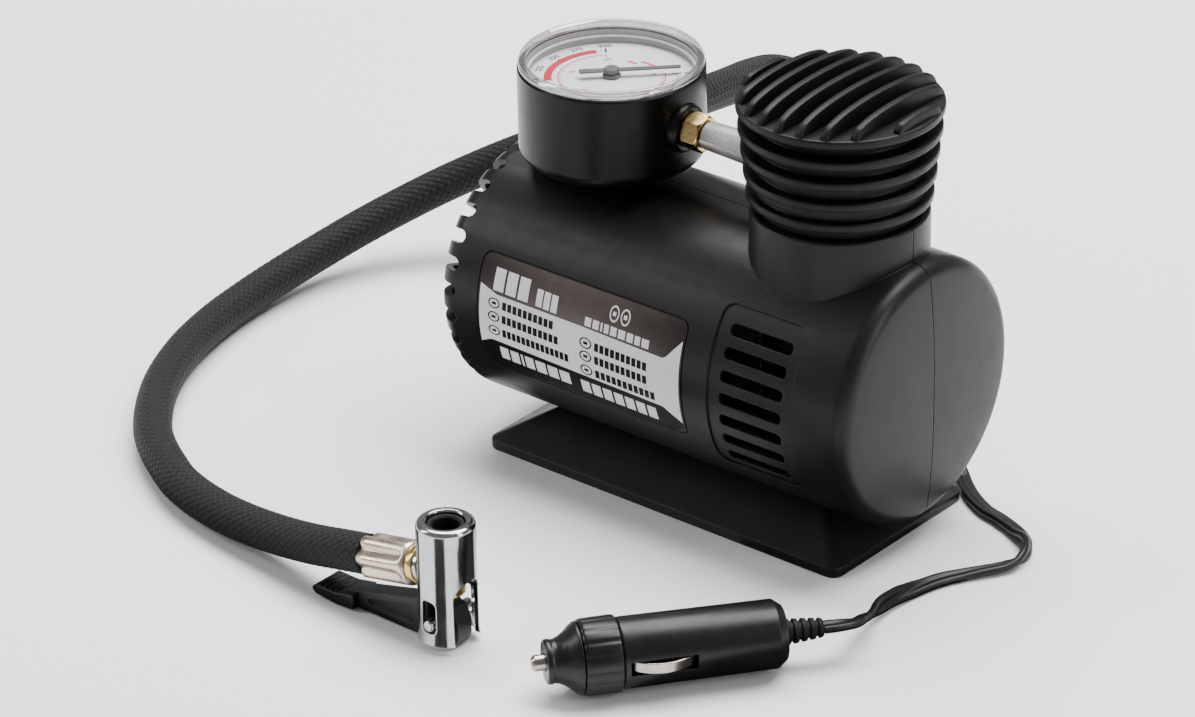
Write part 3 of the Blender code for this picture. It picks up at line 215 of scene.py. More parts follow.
def braid_material():
    """Two families of yarn that cross over and under each other; u runs round the hose, v along it. Colour is
    darker where the weave lies low: painted shade between the yarns.
    """
    mat, tree, shader = material("woven_braid")
    uv = add(tree, "UVMap", {}, uv_map="along")
    u, v = add(tree, "SeparateXYZ", {0: uv.outputs[0]}).outputs[:2]
    right = plus(tree, u, v)
    left = calc(tree, "SUBTRACT", u, v)
    cells = plus(tree, calc(tree, "FLOOR", right), calc(tree, "FLOOR", left))
    over = calc(tree, "MODULO", calc(tree, "ABSOLUTE", cells), 2.0)
    threads = []
    for across, along in ((right, left), (left, right)):
        crown, ends = (calc(tree, "SINE", times(tree, calc(tree, "FRACT", way), math.pi))
                       for way in (across, along))
        yarn = calc(tree, "SINE", times(tree, across, 8 * math.pi))
        body = times(tree, crown, plus(tree, times(tree, ends, 0.55), 0.45))
        threads.append(plus(tree, body, times(tree, yarn, 0.06)))
    second = times(tree, threads[1], calc(tree, "SUBTRACT", 1.0, over))
    height = plus(tree, times(tree, threads[0], over), second)
    fuzz = noise(tree, 5.0, 2)
    tone = mixed(tree, height, fuzz, 0.25)
    # painted shade: low parts of the weave get the darker colour; the fuzz adds random tone
    colour = ramp(tree, tone, (0.001, 0.001, 0.001), (0.0095, 0.009, 0.0092), 0.1, 0.9)
    feed(tree, shader, {"Base Color": colour, "Roughness": span(tree, fuzz, 0.55, 0.8),
                        "Specular IOR Level": 0.25, "Sheen Weight": 0.04, "Sheen Roughness": 0.5,
                        "Normal": bump(tree, tone, 0.35, 0.9)})
    return mat


def brushed_material(name, low, high, rough, scale, depth, axis, edge):
    """Metal with fine marks drawn out along one direction."""
    mat, tree, shader = material(name)
    marks = noise(tree, scale, 3, axis, 0.6)
    both = mixed(tree, marks, noise(tree, 0.12, 4), 0.6)
    feed(tree, shader, {"Base Color": ramp(tree, both, low, high, 0.35, 0.65), "Metallic": 1.0,
                        "Roughness": span(tree, both, rough * 0.7, rough * 1.4),
                        "Normal": bump(tree, marks, depth, 1.0, rounded_normal(tree, edge))})
    return mat


def lens_material(name, tint, least):
    """Clear plastic: see-through face on and glossy at a slant; least is how glossy it is face on."""
    mat, tree, shader = material(name)
    clear = add(tree, "BsdfTransparent", {0: (tint, tint, tint, 1)})
    slant = add(tree, "LayerWeight", {"Blend": 0.5}).outputs["Facing"]
    share = span(tree, calc(tree, "POWER", slant, 5.0), least, 0.85, 0.0, 1.0)
    colour = ramp(tree, noise(tree, 0.08, 2), (0.75, 0.75, 0.77), (0.85, 0.85, 0.87))
    feed(tree, shader, {"Base Color": colour, "Metallic": 0.85, "Roughness": 0.05,
                        "Normal": bump(tree, noise(tree, 0.05, 2), 0.03)})
    mix = add(tree, "MixShader", {0: share, 1: clear.outputs[0], 2: shader.outputs[0]})
    feed(tree, tree.nodes["Material Output"], {"Surface": mix.outputs[0]})
    return mat


def print_material(name, low, high, rough, specular):
    """Printed ink or film with a faint cloud of tone."""
    mat, tree, shader = material(name)
    feed(tree, shader, {"Base Color": ramp(tree, noise(tree, 0.05, 3), low, high),
                        "Roughness": span(tree, noise(tree, 0.3, 3), rough - 0.05, rough + 0.08),
                        "Specular IOR Level": specular, "Normal": bump(tree, noise(tree, 1.2, 2), 0.003)})
    return mat


def band_material():
    """Dark printed band with a soft metallic sheen painted into its colour, lightest past the middle of its
    length.
    """
    mat, tree, shader = material("label_brown")
    x = add(tree, "SeparateXYZ", {0: mm_coords(tree)}).outputs[0]
    # painted sheen: the base colour grows lighter along x towards the middle of the band
    along = calc(tree, "SINE", span(tree, x, 0.35, 2.9, -60.0, 17.0))
    tone = mixed(tree, along, noise(tree, 0.12, 3), 0.25)
    colour = ramp(tree, tone, (0.016, 0.011, 0.01), (0.085, 0.066, 0.061), 0.35, 0.95)
    feed(tree, shader, {"Base Color": colour, "Metallic": 0.5,
                        "Roughness": span(tree, noise(tree, 0.3, 3), 0.3, 0.4),
                        "Normal": bump(tree, noise(tree, 1.2, 2), 0.003)})
    return mat


def grey(v, warm=0.0):
    return (v * (1 + warm), v, v * (1 - warm * 0.3))


# key: name, darkest and lightest grey, warmth, roughness and its spread, grain and its depth in mm,
# rounding of edges in mm, specular level
MOULDED = {
    "housing": ("housing_plastic", 0.006, 0.0095, 0.1, 0.38, 0.05, 0.4, 0.012, 0.5, 0.22),
    "base": ("base_plastic", 0.011, 0.016, 0.08, 0.42, 0.06, 0.35, 0.02, 0.4, 0.32),
    "head": ("head_plastic", 0.003, 0.0055, 0, 0.44, 0.06, 0.3, 0.018, 0.3, 0.22),
    "gauge": ("gauge_plastic", 0.002, 0.0035, 0.08, 0.3, 0.04, 0.5, 0.006, 0.3, 0.17),
    "lever": ("lever_plastic", 0.008, 0.013, 0, 0.36, 0.05, 0.4, 0.012, 0.25, 0.3),
    "plug": ("plug_plastic", 0.004, 0.0075, 0.08, 0.32, 0.05, 0.4, 0.012, 0.25, 0.3),
    "rubber": ("black_rubber", 0.004, 0.008, 0, 0.6, 0.08, 0.3, 0.03, 0, 0.2),
    "cord": ("cord_rubber", 0.004, 0.007, 0, 0.4, 0.06, 0.3, 0.02, 0, 0.3),
    "nylon": ("nylon", 0.012, 0.02, 0, 0.45, 0.06, 0.35, 0.02, 0, 0.3),
    "switch": ("switch_plastic", 0.004, 0.007, 0, 0.26, 0.05, 0.5, 0.006, 0.3, 0.3),
    "liner": ("dial_liner", 0.27, 0.34, 0.03, 0.4, 0.06, 0.5, 0.01, 0, 0.3),
    "bezel": ("dial_bezel", 0.7, 0.78, 0, 0.3, 0.05, 0.5, 0.006, 0, 0.3),
    "magnet": ("magnet", 0.05, 0.08, 0, 0.6, 0.05, 0.35, 0.02, 0, 0.3),
    "pointer": ("pointer_grey", 0.085, 0.12, 0, 0.35, 0.05, 0.5, 0.006, 0, 0.3)}
# key: name, darkest and lightest colour, roughness, marks per mm, their depth in mm, how they are drawn out
# along each axis, rounding of edges in mm
BRUSHED = {
    "steel": ("motor_steel", grey(0.42), grey(0.58), 0.34, 1.2, 0.01, (0.05, 1, 1), 0.25),
    "screw": ("screw_steel", grey(0.38), grey(0.52), 0.34, 1.5, 0.012, (1, 1, 1), 0.25),
    "chrome": ("chuck_chrome", grey(0.4, -0.03), grey(0.56, -0.03), 0.13, 0.9, 0.004, (1, 1, 0.06), 0.5),
    "champagne": ("champagne_nickel", (0.62, 0.51, 0.41), (0.78, 0.67, 0.56), 0.3, 1.1, 0.012, (0.06, 1, 1),
                  0.3),
    "brass": ("brass", (0.62, 0.42, 0.16), (0.83, 0.62, 0.3), 0.24, 1.3, 0.01, (1, 1, 1), 0.25),
    "copper": ("copper", (0.55, 0.28, 0.16), (0.68, 0.38, 0.24), 0.3, 1.0, 0.01, (1, 1, 0.05), 0.25),
    "nickel": ("contact_nickel", (0.34, 0.31, 0.27), (0.52, 0.48, 0.42), 0.24, 1.2, 0.008, (1, 1, 0.05),
               0.25)}
# key: name, darkest and lightest colour, roughness, specular level
PRINTED = {
    "dial": ("dial_face", (0.74, 0.73, 0.79), (0.8, 0.79, 0.84), 0.5, 0.3),
    "ink": ("black_ink", grey(0.006), grey(0.012), 0.5, 0.1),
    "red": ("red_ink", (0.44, 0.015, 0.035), (0.54, 0.03, 0.055), 0.5, 0.1),
    "pink": ("pink_ink", (0.62, 0.07, 0.13), (0.7, 0.11, 0.18), 0.5, 0.1),
    "label_white": ("label_white", (0.66, 0.65, 0.66), (0.72, 0.71, 0.72), 0.42, 0.3),
    "label_black": ("label_black", grey(0.004), grey(0.007), 0.45, 0.15)}


def make_materials():
    made = {"braid": braid_material(), "label_top": band_material()}
    made["lens"] = lens_material("clear_lens", 0.97, 0.0)
    made["rim"] = lens_material("lens_rim", 0.74, 0.3)
    made["cast"] = moulded("cast_alloy", (0.26, 0.25, 0.25), (0.46, 0.44, 0.44), 0.5, 0.1, 0.7, 0.12, 0.9)
    for key, (name, low, high, warm, rough, spread, grain, depth, edge, specular) in MOULDED.items():
        made[key] = moulded(name, grey(low, warm), grey(high, warm), rough, spread, grain, depth, 0.0, edge,
                            specular)
    for key, values in BRUSHED.items():
        made[key] = brushed_material(*values)
    for key, values in PRINTED.items():
        made[key] = print_material(*values)
    return made


# ---- mesh helpers --------------------------------------------------------------------
def shade(mesh, smooth):
    """Smooth shading up to an angle in degrees; 0 leaves every face flat."""
    if smooth:
        mesh.shade_smooth()
        mesh.set_sharp_from_angle(angle=math.radians(smooth))


def piece(name, bm, mat, body=ROOT, nodes=(), smooth=35):
    """Makes a shown object of a bmesh in millimetres that rides on a body and may stand for CAD nodes."""
    bmesh.ops.recalc_face_normals(bm, faces=bm.faces[:])
    bm.transform(Matrix.Scale(MM, 4))
    mesh = bpy.data.meshes.new(name)
    bm.to_mesh(mesh)
    bm.free()
    shade(mesh, smooth)
    obj = bpy.data.objects.new(name, mesh)
    SCENE.collection.objects.link(obj)
    if mat:
        mesh.materials.append(MAT[mat])
        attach(obj, body)
        if nodes:
            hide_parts(*nodes)
    return obj


def form(name, mat, slot, nodes, make, *args, body=ROOT, smooth=35):
    """A shown piece made by one mesh function."""
    bm = bmesh.new()
    make(bm, *args)
    return piece(name, bm, mat, body, nodes, smooth)


def bridge(bm, rings, caps=True):
    """Fills the ends of a row of rings and joins each ring to the next."""
    if caps:
        bm.faces.new(rings[0][::-1])
        bm.faces.new(rings[-1])
    for low, high in zip(rings, rings[1:]):
        for i in range(len(low)):
            j = (i + 1) % len(low)
            bm.faces.new((low[i], low[j], high[j], high[i]))


def polar(radius, degrees):
    angle = math.radians(degrees)
    return radius * math.cos(angle), radius * math.sin(angle)


def soft(points, radius, steps=3, closed=False, keep=()):
    """Rounds the corners of an outline; points on the turning axis and those in keep stay sharp."""
    result = []
    count = len(points)
    for i, p in enumerate(points):
        if (not closed and i in (0, count - 1)) or i in keep:
            result.append(tuple(p))
            continue
        here = Vector(p)
        a, b = Vector(points[i - 1]) - here, Vector(points[(i + 1) % count]) - here
        if a.length < 1e-6 or b.length < 1e-6:
            continue
        half = a.angle(b) / 2
        if half > math.radians(86):
            result.append(tuple(p))
            continue
        cut = min(radius / math.tan(half), 0.45 * a.length, 0.45 * b.length)
        start, end = here + a.normalized() * cut, here + b.normalized() * cut
        for k in range(steps + 1):
            t = k / steps
            result.append(tuple(start * (1 - t) ** 2 + here * 2 * t * (1 - t) + end * t * t))
    return result


def turn(bm, profile, segments, matrix=Matrix()):
    """Turns an outline of (radius, height) points about local Z; a flat end on the axis is one face."""
    closed = profile[0][0] > 1e-6 or profile[-1][0] > 1e-6
    start_cap = not closed and abs(profile[0][1] - profile[1][1]) < 1e-6
    end_cap = not closed and abs(profile[-1][1] - profile[-2][1]) < 1e-6
    rings = []
    for radius, height in profile[start_cap:len(profile) - end_cap]:
        if radius < 1e-6:
            rings.append([bm.verts.new(matrix @ Vector((0.0, 0.0, height)))] * segments)
        else:
            rings.append([bm.verts.new(matrix @ Vector((x, y, height))) for x, y in ring(radius, segments)])
    if start_cap:
        bm.faces.new(rings[0])
    if end_cap:
        bm.faces.new(rings[-1])
    for low, high in list(zip(rings, rings[1:])) + ([(rings[-1], rings[0])] if closed else []):
        for i in range(segments):
            j = (i + 1) % segments
            corners = list(dict.fromkeys((low[i], low[j], high[j], high[i])))
            if len(corners) > 2:
                bm.faces.new(corners)


def rod(radius, z0, z1):
    """Outline of a plain cylinder for turn()."""
    return [(0, z0), (radius, z0), (radius, z1), (0, z1)]


def ring(radius, steps, cx=0.0, cy=0.0, start=0.0):
    angles = [start + 2 * math.pi * i / steps for i in range(steps)]
    return [(cx + radius * math.cos(a), cy + radius * math.sin(a)) for a in angles]


def box_outline(x0, x1, y0, y1, radius=0.0, steps=6):
    corners = [(x1, y1), (x0, y1), (x0, y0), (x1, y0)]
    return soft(corners, radius, steps, True) if radius else corners


def slab(bm, outline, z0, z1, matrix=Matrix()):
    bridge(bm, [[bm.verts.new(matrix @ Vector((x, y, z))) for x, y in outline] for z in (z0, z1)])


def place(origin, x_dir, z_dir):
    z = Vector(z_dir).normalized()
    y = z.cross(Vector(x_dir)).normalized()
    return Matrix.Translation(Vector(origin)) @ Matrix((y.cross(z), y, z)).transposed().to_4x4()


def at(matrix, origin):
    return Matrix.Translation(Vector(origin)) @ matrix


ALONG_X = place((0, 0, 0), (0, 1, 0), (1, 0, 0))
ALONG_Y = place((0, 0, 0), (0, 0, 1), (0, 1, 0))


def guide(make, *args):
    """A helper solid for one Boolean: not shown and removed once the result is settled."""
    obj = form("guide", None, None, (), make, *args, smooth=0)
    obj.hide_render = True
    return obj


def carve(obj, tool, operation="DIFFERENCE"):
    mod = obj.modifiers.new(operation, "BOOLEAN")
    mod.operation, mod.object, mod.solver = operation, tool, "EXACT"
    return obj


def bevel(obj, width, segments=2, angle=35):
    mod = obj.modifiers.new("bevel", "BEVEL")
    mod.width, mod.segments = width * MM, segments
    mod.limit_method, mod.angle_limit = "ANGLE", math.radians(angle)
    mod.use_clamp_overlap = True
    return obj


def settle(obj, smooth=35):
    """Applies the modifiers and removes the guides that they used."""
    tools = []
    for mod in obj.modifiers:
        if mod.type == "BOOLEAN" and mod.object not in tools:
            tools.append(mod.object)
    mesh = bpy.data.meshes.new_from_object(obj.evaluated_get(bpy.context.evaluated_depsgraph_get()))
    obj.modifiers.clear()
    obj.data = mesh
    for tool in tools:
        bpy.data.objects.remove(tool, do_unlink=True)
    shade(mesh, smooth)
    return obj


def dress(name, mat, width=0.0):
    """Gives a CAD node its finish and, where it is sharp-edged, a small rounding."""
    node = NODES[name]
    node.data.materials.clear()
    node.data.materials.append(MAT[mat])
    if width:
        bevel(node, width, 2, 40)


def smooth_route(points, spacing):
    """Evenly spaced points on a Catmull-Rom curve through the route's points."""
    pts = [Vector(p) for p in points]
    pts = [pts[0] * 2 - pts[1]] + pts + [pts[-1] * 2 - pts[-2]]
    dense = []
    for a, b, c, d in zip(pts, pts[1:], pts[2:], pts[3:]):
        for i in range(24):
            t = i / 24
            dense.append(0.5 * ((2 * b) + (c - a) * t + (2 * a - 5 * b + 4 * c - d) * t * t
                                + (3 * b - a - 3 * c + d) * t ** 3))
    dense.append(pts[-2])
    lengths = [0.0]
    for a, b in zip(dense, dense[1:]):
        lengths.append(lengths[-1] + (b - a).length)
    count = max(2, round(lengths[-1] / spacing))
    result = []
    k = 0
    for i in range(count + 1):
        s = lengths[-1] * i / count
        while k < len(lengths) - 2 and lengths[k + 1] < s:
            k += 1
        share = (s - lengths[k]) / (lengths[k + 1] - lengths[k])
        result.append(dense[k].lerp(dense[k + 1], min(1.0, share)))
    return result


def sweep(bm, path, section, uv_turns=0, uv_pitch=1.0):
    """Sweeps section(i, share) -> [(side, up)] along a path, with filled ends; side stays level."""
    rings = []
    for i, p in enumerate(path):
        ahead = (path[min(i + 1, len(path) - 1)] - path[max(i - 1, 0)]).normalized()
        side = ahead.cross(Vector((0, 0, 1))).normalized()
        up = side.cross(ahead)
        rings.append([bm.verts.new(p + side * a + up * b) for a, b in section(i, i / (len(path) - 1))])
    layer = bm.loops.layers.uv.new("along") if uv_turns else None
    count = len(rings[0])
    step = (path[1] - path[0]).length
    for i, (low, high) in enumerate(zip(rings, rings[1:])):
        for j in range(count):
            k = (j + 1) % count
            face = bm.faces.new((low[j], low[k], high[k], high[j]))
            if layer:
                around = (j / count * uv_turns, (j + 1) / count * uv_turns)
                along = (i * step / uv_pitch, (i + 1) * step / uv_pitch)
                for loop, (a, b) in zip(face.loops, ((0, 0), (1, 0), (1, 1), (0, 1))):
                    loop[layer].uv = (around[a], along[b])
    bm.faces.new(rings[0][::-1])
    bm.faces.new(rings[-1])


# ---- body ----------------------------------------------------------------------------
BODY_R, BODY_Z, BODY_X0, BODY_X1, WALL = 40.2, 50.2, -77.4, 76.9, 2.2
HEAD_X, NECK_R, NECK_BORE, NECK_TOP = 43.0, 25.9, 22.5, 101.0
FACETS = 144
LABEL = (-60.4, 17.0, 33.2, 69.7)
PANEL = (26.0, 55.7, 27.4, 77.0)
HOUSING_SCREWS = [(-66.0, 72.0), (-66.0, 28.0), (66.0, 69.0), (66.0, 28.0)]


def body_axis(turned=0.0):
    return at(ALONG_X, (0, 0, BODY_Z)) @ Matrix.Rotation(math.radians(180 / FACETS + turned), 4, "Z")


def arc(cx, cz, radius, start, end, steps):
    offsets = [polar(radius, start + (end - start) * i / steps) for i in range(steps + 1)]
    return [(cx + dx, cz + dz) for dx, dz in offsets]


def body_profile(inset):
    r, x0, x1 = BODY_R - inset, BODY_X0 + inset, BODY_X1 - inset
    f0, f1 = 7.6 - inset, 5.0 - inset * 0.8
    points = [(0, x0)] + arc(r - f0, x0 + f0, f0, 270, 360, 10)
    edge = x1 - 1.8
    points += arc(r - f1, edge - f1, f1, 0, 82, 8)
    rim, rise = points[-1][0], x1 - points[-1][1]
    for share in (0.85, 0.65, 0.45, 0.25):
        points.append((rim * share, x1 - rise * share ** 2.4))
    points.append((0, points[-1][1]))
    return points


def radial(angle, x=0.0):
    """Frame on the body axis: local Z points out at an angle above the front, X runs along the body."""
    return place((x, 0, BODY_Z), (1, 0, 0), (0, -math.cos(angle), math.sin(angle)))


def end_slots(bm):
    """Slots over the rounded edge of the motor end, all round except over the base and the seam."""
    half = 2.1
    outline = [(BODY_X0 - 4, -half)] + arc(-71.0, 0, half, -90, 90, 10) + [(BODY_X0 - 4, half)]
    for i in range(30):
        angle = math.radians(6 + 12 * i)
        if abs(math.sin(angle)) < 0.99:
            slab(bm, outline, 27.0, BODY_R + 4, radial(angle))


def side_slots(bm, mirror):
    outline = box_outline(30.2, 52.4, -1.8, 1.8, 1.79, 6)
    for i in range(7):
        angle = math.radians(31.6 - 10 * i)
        slab(bm, outline, BODY_R - 5, BODY_R + 3, radial(math.pi - angle if mirror else angle))


def recess(panel, side):
    """Guide of a shallow rounded recess that follows the wall."""
    x0, x1, z0, z1 = panel
    outline = box_outline(z0, z1, x0, x1, 3.6, 6)
    near, far = sorted((side * 15, side * (BODY_R + 5)))
    block = guide(slab, outline, near, far, ALONG_Y)
    core = guide(turn, rod(BODY_R - 0.5, x0 - 9, x1 + 9), FACETS, body_axis())
    return settle(carve(block, core), 0)


def screw_bosses(bm):
    for x, z in HOUSING_SCREWS:
        slab(bm, ring(3.6, 32, z, x), -45, 45, ALONG_Y)
    for x in (-45, 45):
        for y in (-9, 9):
            slab(bm, ring(3.4, 32, x, y), 0, 17)


def screw_holes(bm, side):
    stepped = [(0, -1), (1.8, -1), (1.8, 24), (3.2, 24), (3.2, 45), (0, 45)]
    for x, z in HOUSING_SCREWS:
        if side > 0:
            turn(bm, stepped, 32, at(ALONG_Y, (x, 0, z)))
        else:
            slab(bm, ring(1.8, 32, z, x), -14, 1, ALONG_Y)
    for x in (-45, 45):
        slab(bm, ring(1.8, 32, x, 9 * side), 0, 15)


def housing_half(name, side, node):
    half = form(name, "housing", "housing_plastic", [node], turn, body_profile(0.0), FACETS, body_axis())
    head_axis = Matrix.Translation((HEAD_X, 0, 0)) @ Matrix.Rotation(math.radians(1), 4, "Z")
    low = BODY_Z + 10
    neck = soft(rod(NECK_R, low, NECK_TOP), 0.9, 4, keep=(1,))
    carve(half, guide(turn, neck, 96, head_axis), "UNION")
    carve(half, settle(carve(guide(turn, body_profile(WALL), 96, body_axis(1.1)), guide(screw_bosses)), 0))
    bore_axis = head_axis @ Matrix.Rotation(math.radians(1.4), 4, "Z")
    carve(half, guide(turn, rod(NECK_BORE, low, NECK_TOP + 2), 96, bore_axis))
    carve(half, guide(end_slots))
    carve(half, recess(PANEL, side))
    carve(half, guide(side_slots, side > 0))
    switch_hole = box_outline(BODY_Z - 9.8, BODY_Z + 9.8, BODY_X0 - 3, BODY_X0 + 4)
    carve(half, guide(slab, switch_hole, -6.8, 6.8, ALONG_Y))
    if side < 0:
        carve(half, recess(LABEL, side))
    else:
        carve(half, guide(slab, ring(4.2, 32), BODY_R - 6, BODY_R + 3, radial(math.radians(225), 50.0)))
    carve(half, guide(screw_holes, side))
    near, far = sorted((side * 0.15, side * (BODY_R + 5)))
    keep = guide(slab, box_outline(0, NECK_TOP + 5, BODY_X0 - 5, BODY_X1 + 5), near, far, ALONG_Y)
    return settle(carve(half, keep, "INTERSECT"), 30)


def make_base():
    length, width, edge, top, inset = 131.7, 62.3, 3.1, 13.5, 17.4
    low = box_outline(-length / 2, length / 2, -width / 2, width / 2, 4.0, 6)
    high = box_outline(-length / 2 + inset, length / 2 - inset,
                       -width / 2 + inset, width / 2 - inset, 1.6, 6)
    bm = bmesh.new()
    levels = [(0.996, low, 0.0), (1.0, low, 0.5), (1.0, low, edge - 0.3), (0.9985, low, edge),
              (1.0, high, top)]
    bridge(bm, [[bm.verts.new((x * k, y * k, z)) for x, y in outline] for k, outline, z in levels])
    base = piece("base_moulding", bm, "base", ROOT, ["base"])
    carve(base, guide(turn, rod(BODY_R + 0.3, -80, 80), FACETS, body_axis()))
    for x in (-45, 45):
        for y in (-9, 9):
            carve(base, guide(slab, ring(3.2, 24, x, y), -1, 3.4))
    settle(base, 30)


def curved_patch(bm, x0, x1, low, high, r0, r1, nx=2, nt=2):
    """Thin plate on the body between two edges given as degrees above the front at each x."""
    grids = []
    for r in (r0, r1):
        grid = []
        for i in range(nx + 1):
            x = x0 + (x1 - x0) * i / nx
            a0, a1 = low(x), high(x)
            column = []
            for j in range(nt + 1):
                y, z = polar(r, a0 + (a1 - a0) * j / nt)
                column.append(bm.verts.new((x, -y, BODY_Z + z)))
            grid.append(column)
        grids.append(grid)
    inner, outer = grids
    for i in range(nx):
        for j in range(nt):
            for g, flip in ((inner, True), (outer, False)):
                face = (g[i][j], g[i + 1][j], g[i + 1][j + 1], g[i][j + 1])
                bm.faces.new(face[::-1] if flip else face)
    rim = [(i, 0) for i in range(nx)] + [(nx, j) for j in range(nt)]
    rim += [(i, nt) for i in range(nx, 0, -1)] + [(0, j) for j in range(nt, 0, -1)]
    for k, (i, j) in enumerate(rim):
        i2, j2 = rim[(k + 1) % len(rim)]
        bm.faces.new((inner[i][j], inner[i2][j2], outer[i2][j2], outer[i][j]))


def level(a):
    return lambda x: a


def between(points):
    """Straight runs through (x, angle) points."""
    def edge(x):
        for (xa, a), (xb, b) in zip(points, points[1:]):
            if x <= xb:
                return a + (b - a) * max(0.0, (x - xa) / (xb - xa))
        return points[-1][1]
    return edge


def blocks(bm, x0, x1, a0, a1, count, r, drift=0.0, gap=0.24, weights=None):
    """A greeked word: a row of plain blocks, with no letter forms."""
    widths = weights or [1.0] * count
    unit = (x1 - x0) / sum(widths)
    x = x0
    for w in widths:
        slope = drift * (x - x0) / max(1e-6, x1 - x0)
        end = x + w * unit
        curved_patch(bm, x, end - unit * gap, level(a0 + slope), level(a1 + slope), r, r + 0.03, 1, 3)
        x = end


def ovals(bm, x0, x1, a0, a1, r):
    """A ring of oval outline with a small bar in it."""
    cx, ca, hx, ha = (x0 + x1) / 2, (a0 + a1) / 2, (x1 - x0) / 2, (a1 - a0) / 2
    count = 20
    for i in range(count):
        spans = [polar(1, 360 * k / count) for k in (i, i + 1)]
        loops = []
        for rad in (r, r + 0.03):
            for share in (1.0, 0.78):
                for c, s in spans:
                    y, z = polar(rad, ca + ha * share * s)
                    loops.append(bm.verts.new((cx + hx * share * c, -y, BODY_Z + z)))
        o0, o1, i0, i1, p0, p1, q0, q1 = loops
        for face in ((o0, o1, i1, i0), (p0, q0, q1, p1), (o0, p0, p1, o1), (i0, i1, q1, q0), (o0, i0, q0, p0),
                     (o1, p1, q1, i1)):
            bm.faces.new(face)
    bar, tall = hx * 0.35, ha * 0.25
    curved_patch(bm, cx - bar, cx + bar, level(ca - tall), level(ca + tall), r, r + 0.03, 1, 1)


def make_label():
    """Printed plate: brown band, white field with drawn-out corners, black band, plain greeked marks."""
    x0, x1, z0, z1 = LABEL
    margin = 0.4
    outline = box_outline(z0 + margin, z1 - margin, x0 + margin, x1 - margin, 3.4, 8)
    plate = form("label_film", "label_top", "label", ["label_plate"],
                 slab, outline, -BODY_R - 4, -15, ALONG_Y)
    r0, r1 = BODY_R - 0.2, BODY_R + 0.06
    shell = [(r0, x0 - 1), (r1, x0 - 1), (r1, x1 + 1), (r0, x1 + 1)]
    settle(carve(plate, guide(turn, shell, FACETS, body_axis(0.6)), "INTERSECT"), 30)
    top = between([(-59.4, 14.7), (-53.0, 11.7), (-20.0, 11.3), (10.2, 10.3), (15.9, 20.0)])
    bottom = between([(-59.4, -12.6), (-55.3, -9.8), (-20.0, -11.2), (9.4, -12.3), (15.9, -18.0)])

    def lower(x):
        return -24.1 + 0.9 * (max(0.0, -56.0 - x) + max(0.0, x - 12.4))

    def under_field(x):
        return bottom(x) - 0.15

    ends = (-59.4, 15.9)
    form("label_white_field", "label_white", "label", (), curved_patch,
         *ends, bottom, top, r1, r1 + 0.03, 60, 14)
    form("label_black_band", "label_black", "label", (), curved_patch,
         *ends, lower, under_field, r1, r1 + 0.02, 60, 8)
    r = r1 + 0.03
    bm = bmesh.new()
    blocks(bm, -54.6, -40.5, 13.3, 23.2, 3, r, -0.5, 0.18)
    blocks(bm, -38.3, -29.8, 12.9, 20.4, 3, r, -0.4, 0.2)
    blocks(bm, -19.6, 4.9, 12.2, 16.0, 9, r, -0.6, 0.22, [1, 1, 0.45, 0.8, 1, 1.1, 1, 0.9, 1.1])
    blocks(bm, -52.5, -25.2, -18.6, -12.4, 7, r, -1.0, 0.2, [1, 1, 0.4, 1, 1.15, 1.15, 1.15])
    blocks(bm, -21.8, 7.2, -20.6, -14.2, 7, r, -0.8, 0.2)
    ovals(bm, -11.3, -7.9, 17.6, 24.8, r)
    ovals(bm, -7.2, -3.8, 17.6, 24.8, r)
    piece("label_white_marks", bm, "label_white", ROOT)
    bm = bmesh.new()
    for a1, end, count in ((9.4, -30.7, 10), (3.3, -28.7, 11), (-3.2, -25.0, 14)):
        blocks(bm, -50.6, end, a1 - 3.6, a1, count, r, -0.5)
        ovals(bm, -56.0, -51.5, a1 - 4.0, a1 + 0.6, r)
    for a1, end, count in ((6.2, 4.5, 10), (0.2, 4.5, 10), (-6.4, 7.2, 11)):
        blocks(bm, -15.4, end, a1 - 3.7, a1, count, r, -0.6)
        ovals(bm, -21.0, -16.4, a1 - 4.0, a1 + 1.0, r)
    piece("label_black_marks", bm, "label_black", ROOT)


def make_switch():
    matrix = place((BODY_X0, 0, BODY_Z), (0, 0, 1), (-1, 0, 0))
    outline = box_outline(-10.6, 10.6, -7.6, 7.6, 1.6, 5)
    bezel = form("switch_frame", "switch", "switch_plastic", ["switch_bezel"],
                 slab, outline, 0.3, 1.8, matrix)
    carve(bezel, guide(slab, box_outline(-8.4, 8.4, -5.4, 5.4), -7, 5, matrix))
    bevel(settle(bezel, 30), 0.35, 3)
    dress("switch_rocker", "switch", 0.35)


# ---- cylinder head cover -------------------------------------------------------------
DISC_TOP, DISC_PITCH = 134.0, 6.7
DISC_R = [29.7, 29.1, 28.3, 27.6, 26.8]


def crown_height(r):
    return 6.7 * (1 - min(1.0, r / 29.6) ** 2.2) ** 0.45


def crown_fin(bm, x, thick, centre):
    """One upright fin under the dome, with rounded top edges."""
    half = thick / 2
    reach = math.sqrt(29.6 ** 2 - (abs(x - centre) + half) ** 2)
    steps = 26
    rows = []
    for i in range(steps + 1):
        t = -1 + 2 * i / steps
        y = reach * math.sin(t * math.pi / 2)
        rounding = math.sqrt(1 - max(0.0, 1 - (reach - abs(y)) / 2.6) ** 2)
        z = DISC_TOP + crown_height(math.hypot(x - centre, y)) * rounding
        rows.append((y, z if abs(t) < 1 else DISC_TOP - 1.2))
    e = 0.55
    section = [(-half, None), (-half, -e), (-half + e * 0.3, -e * 0.3), (-half + e, 0.0), (half - e, 0.0),
               (half - e * 0.3, -e * 0.3), (half, -e), (half, None)]
    rings = []
    for y, z in rows:
        rings.append([bm.verts.new((x + dx, y, DISC_TOP - 1.5 if dz is None else max(z + dz, DISC_TOP - 1.4)))
                      for dx, dz in section])
    bridge(bm, rings)


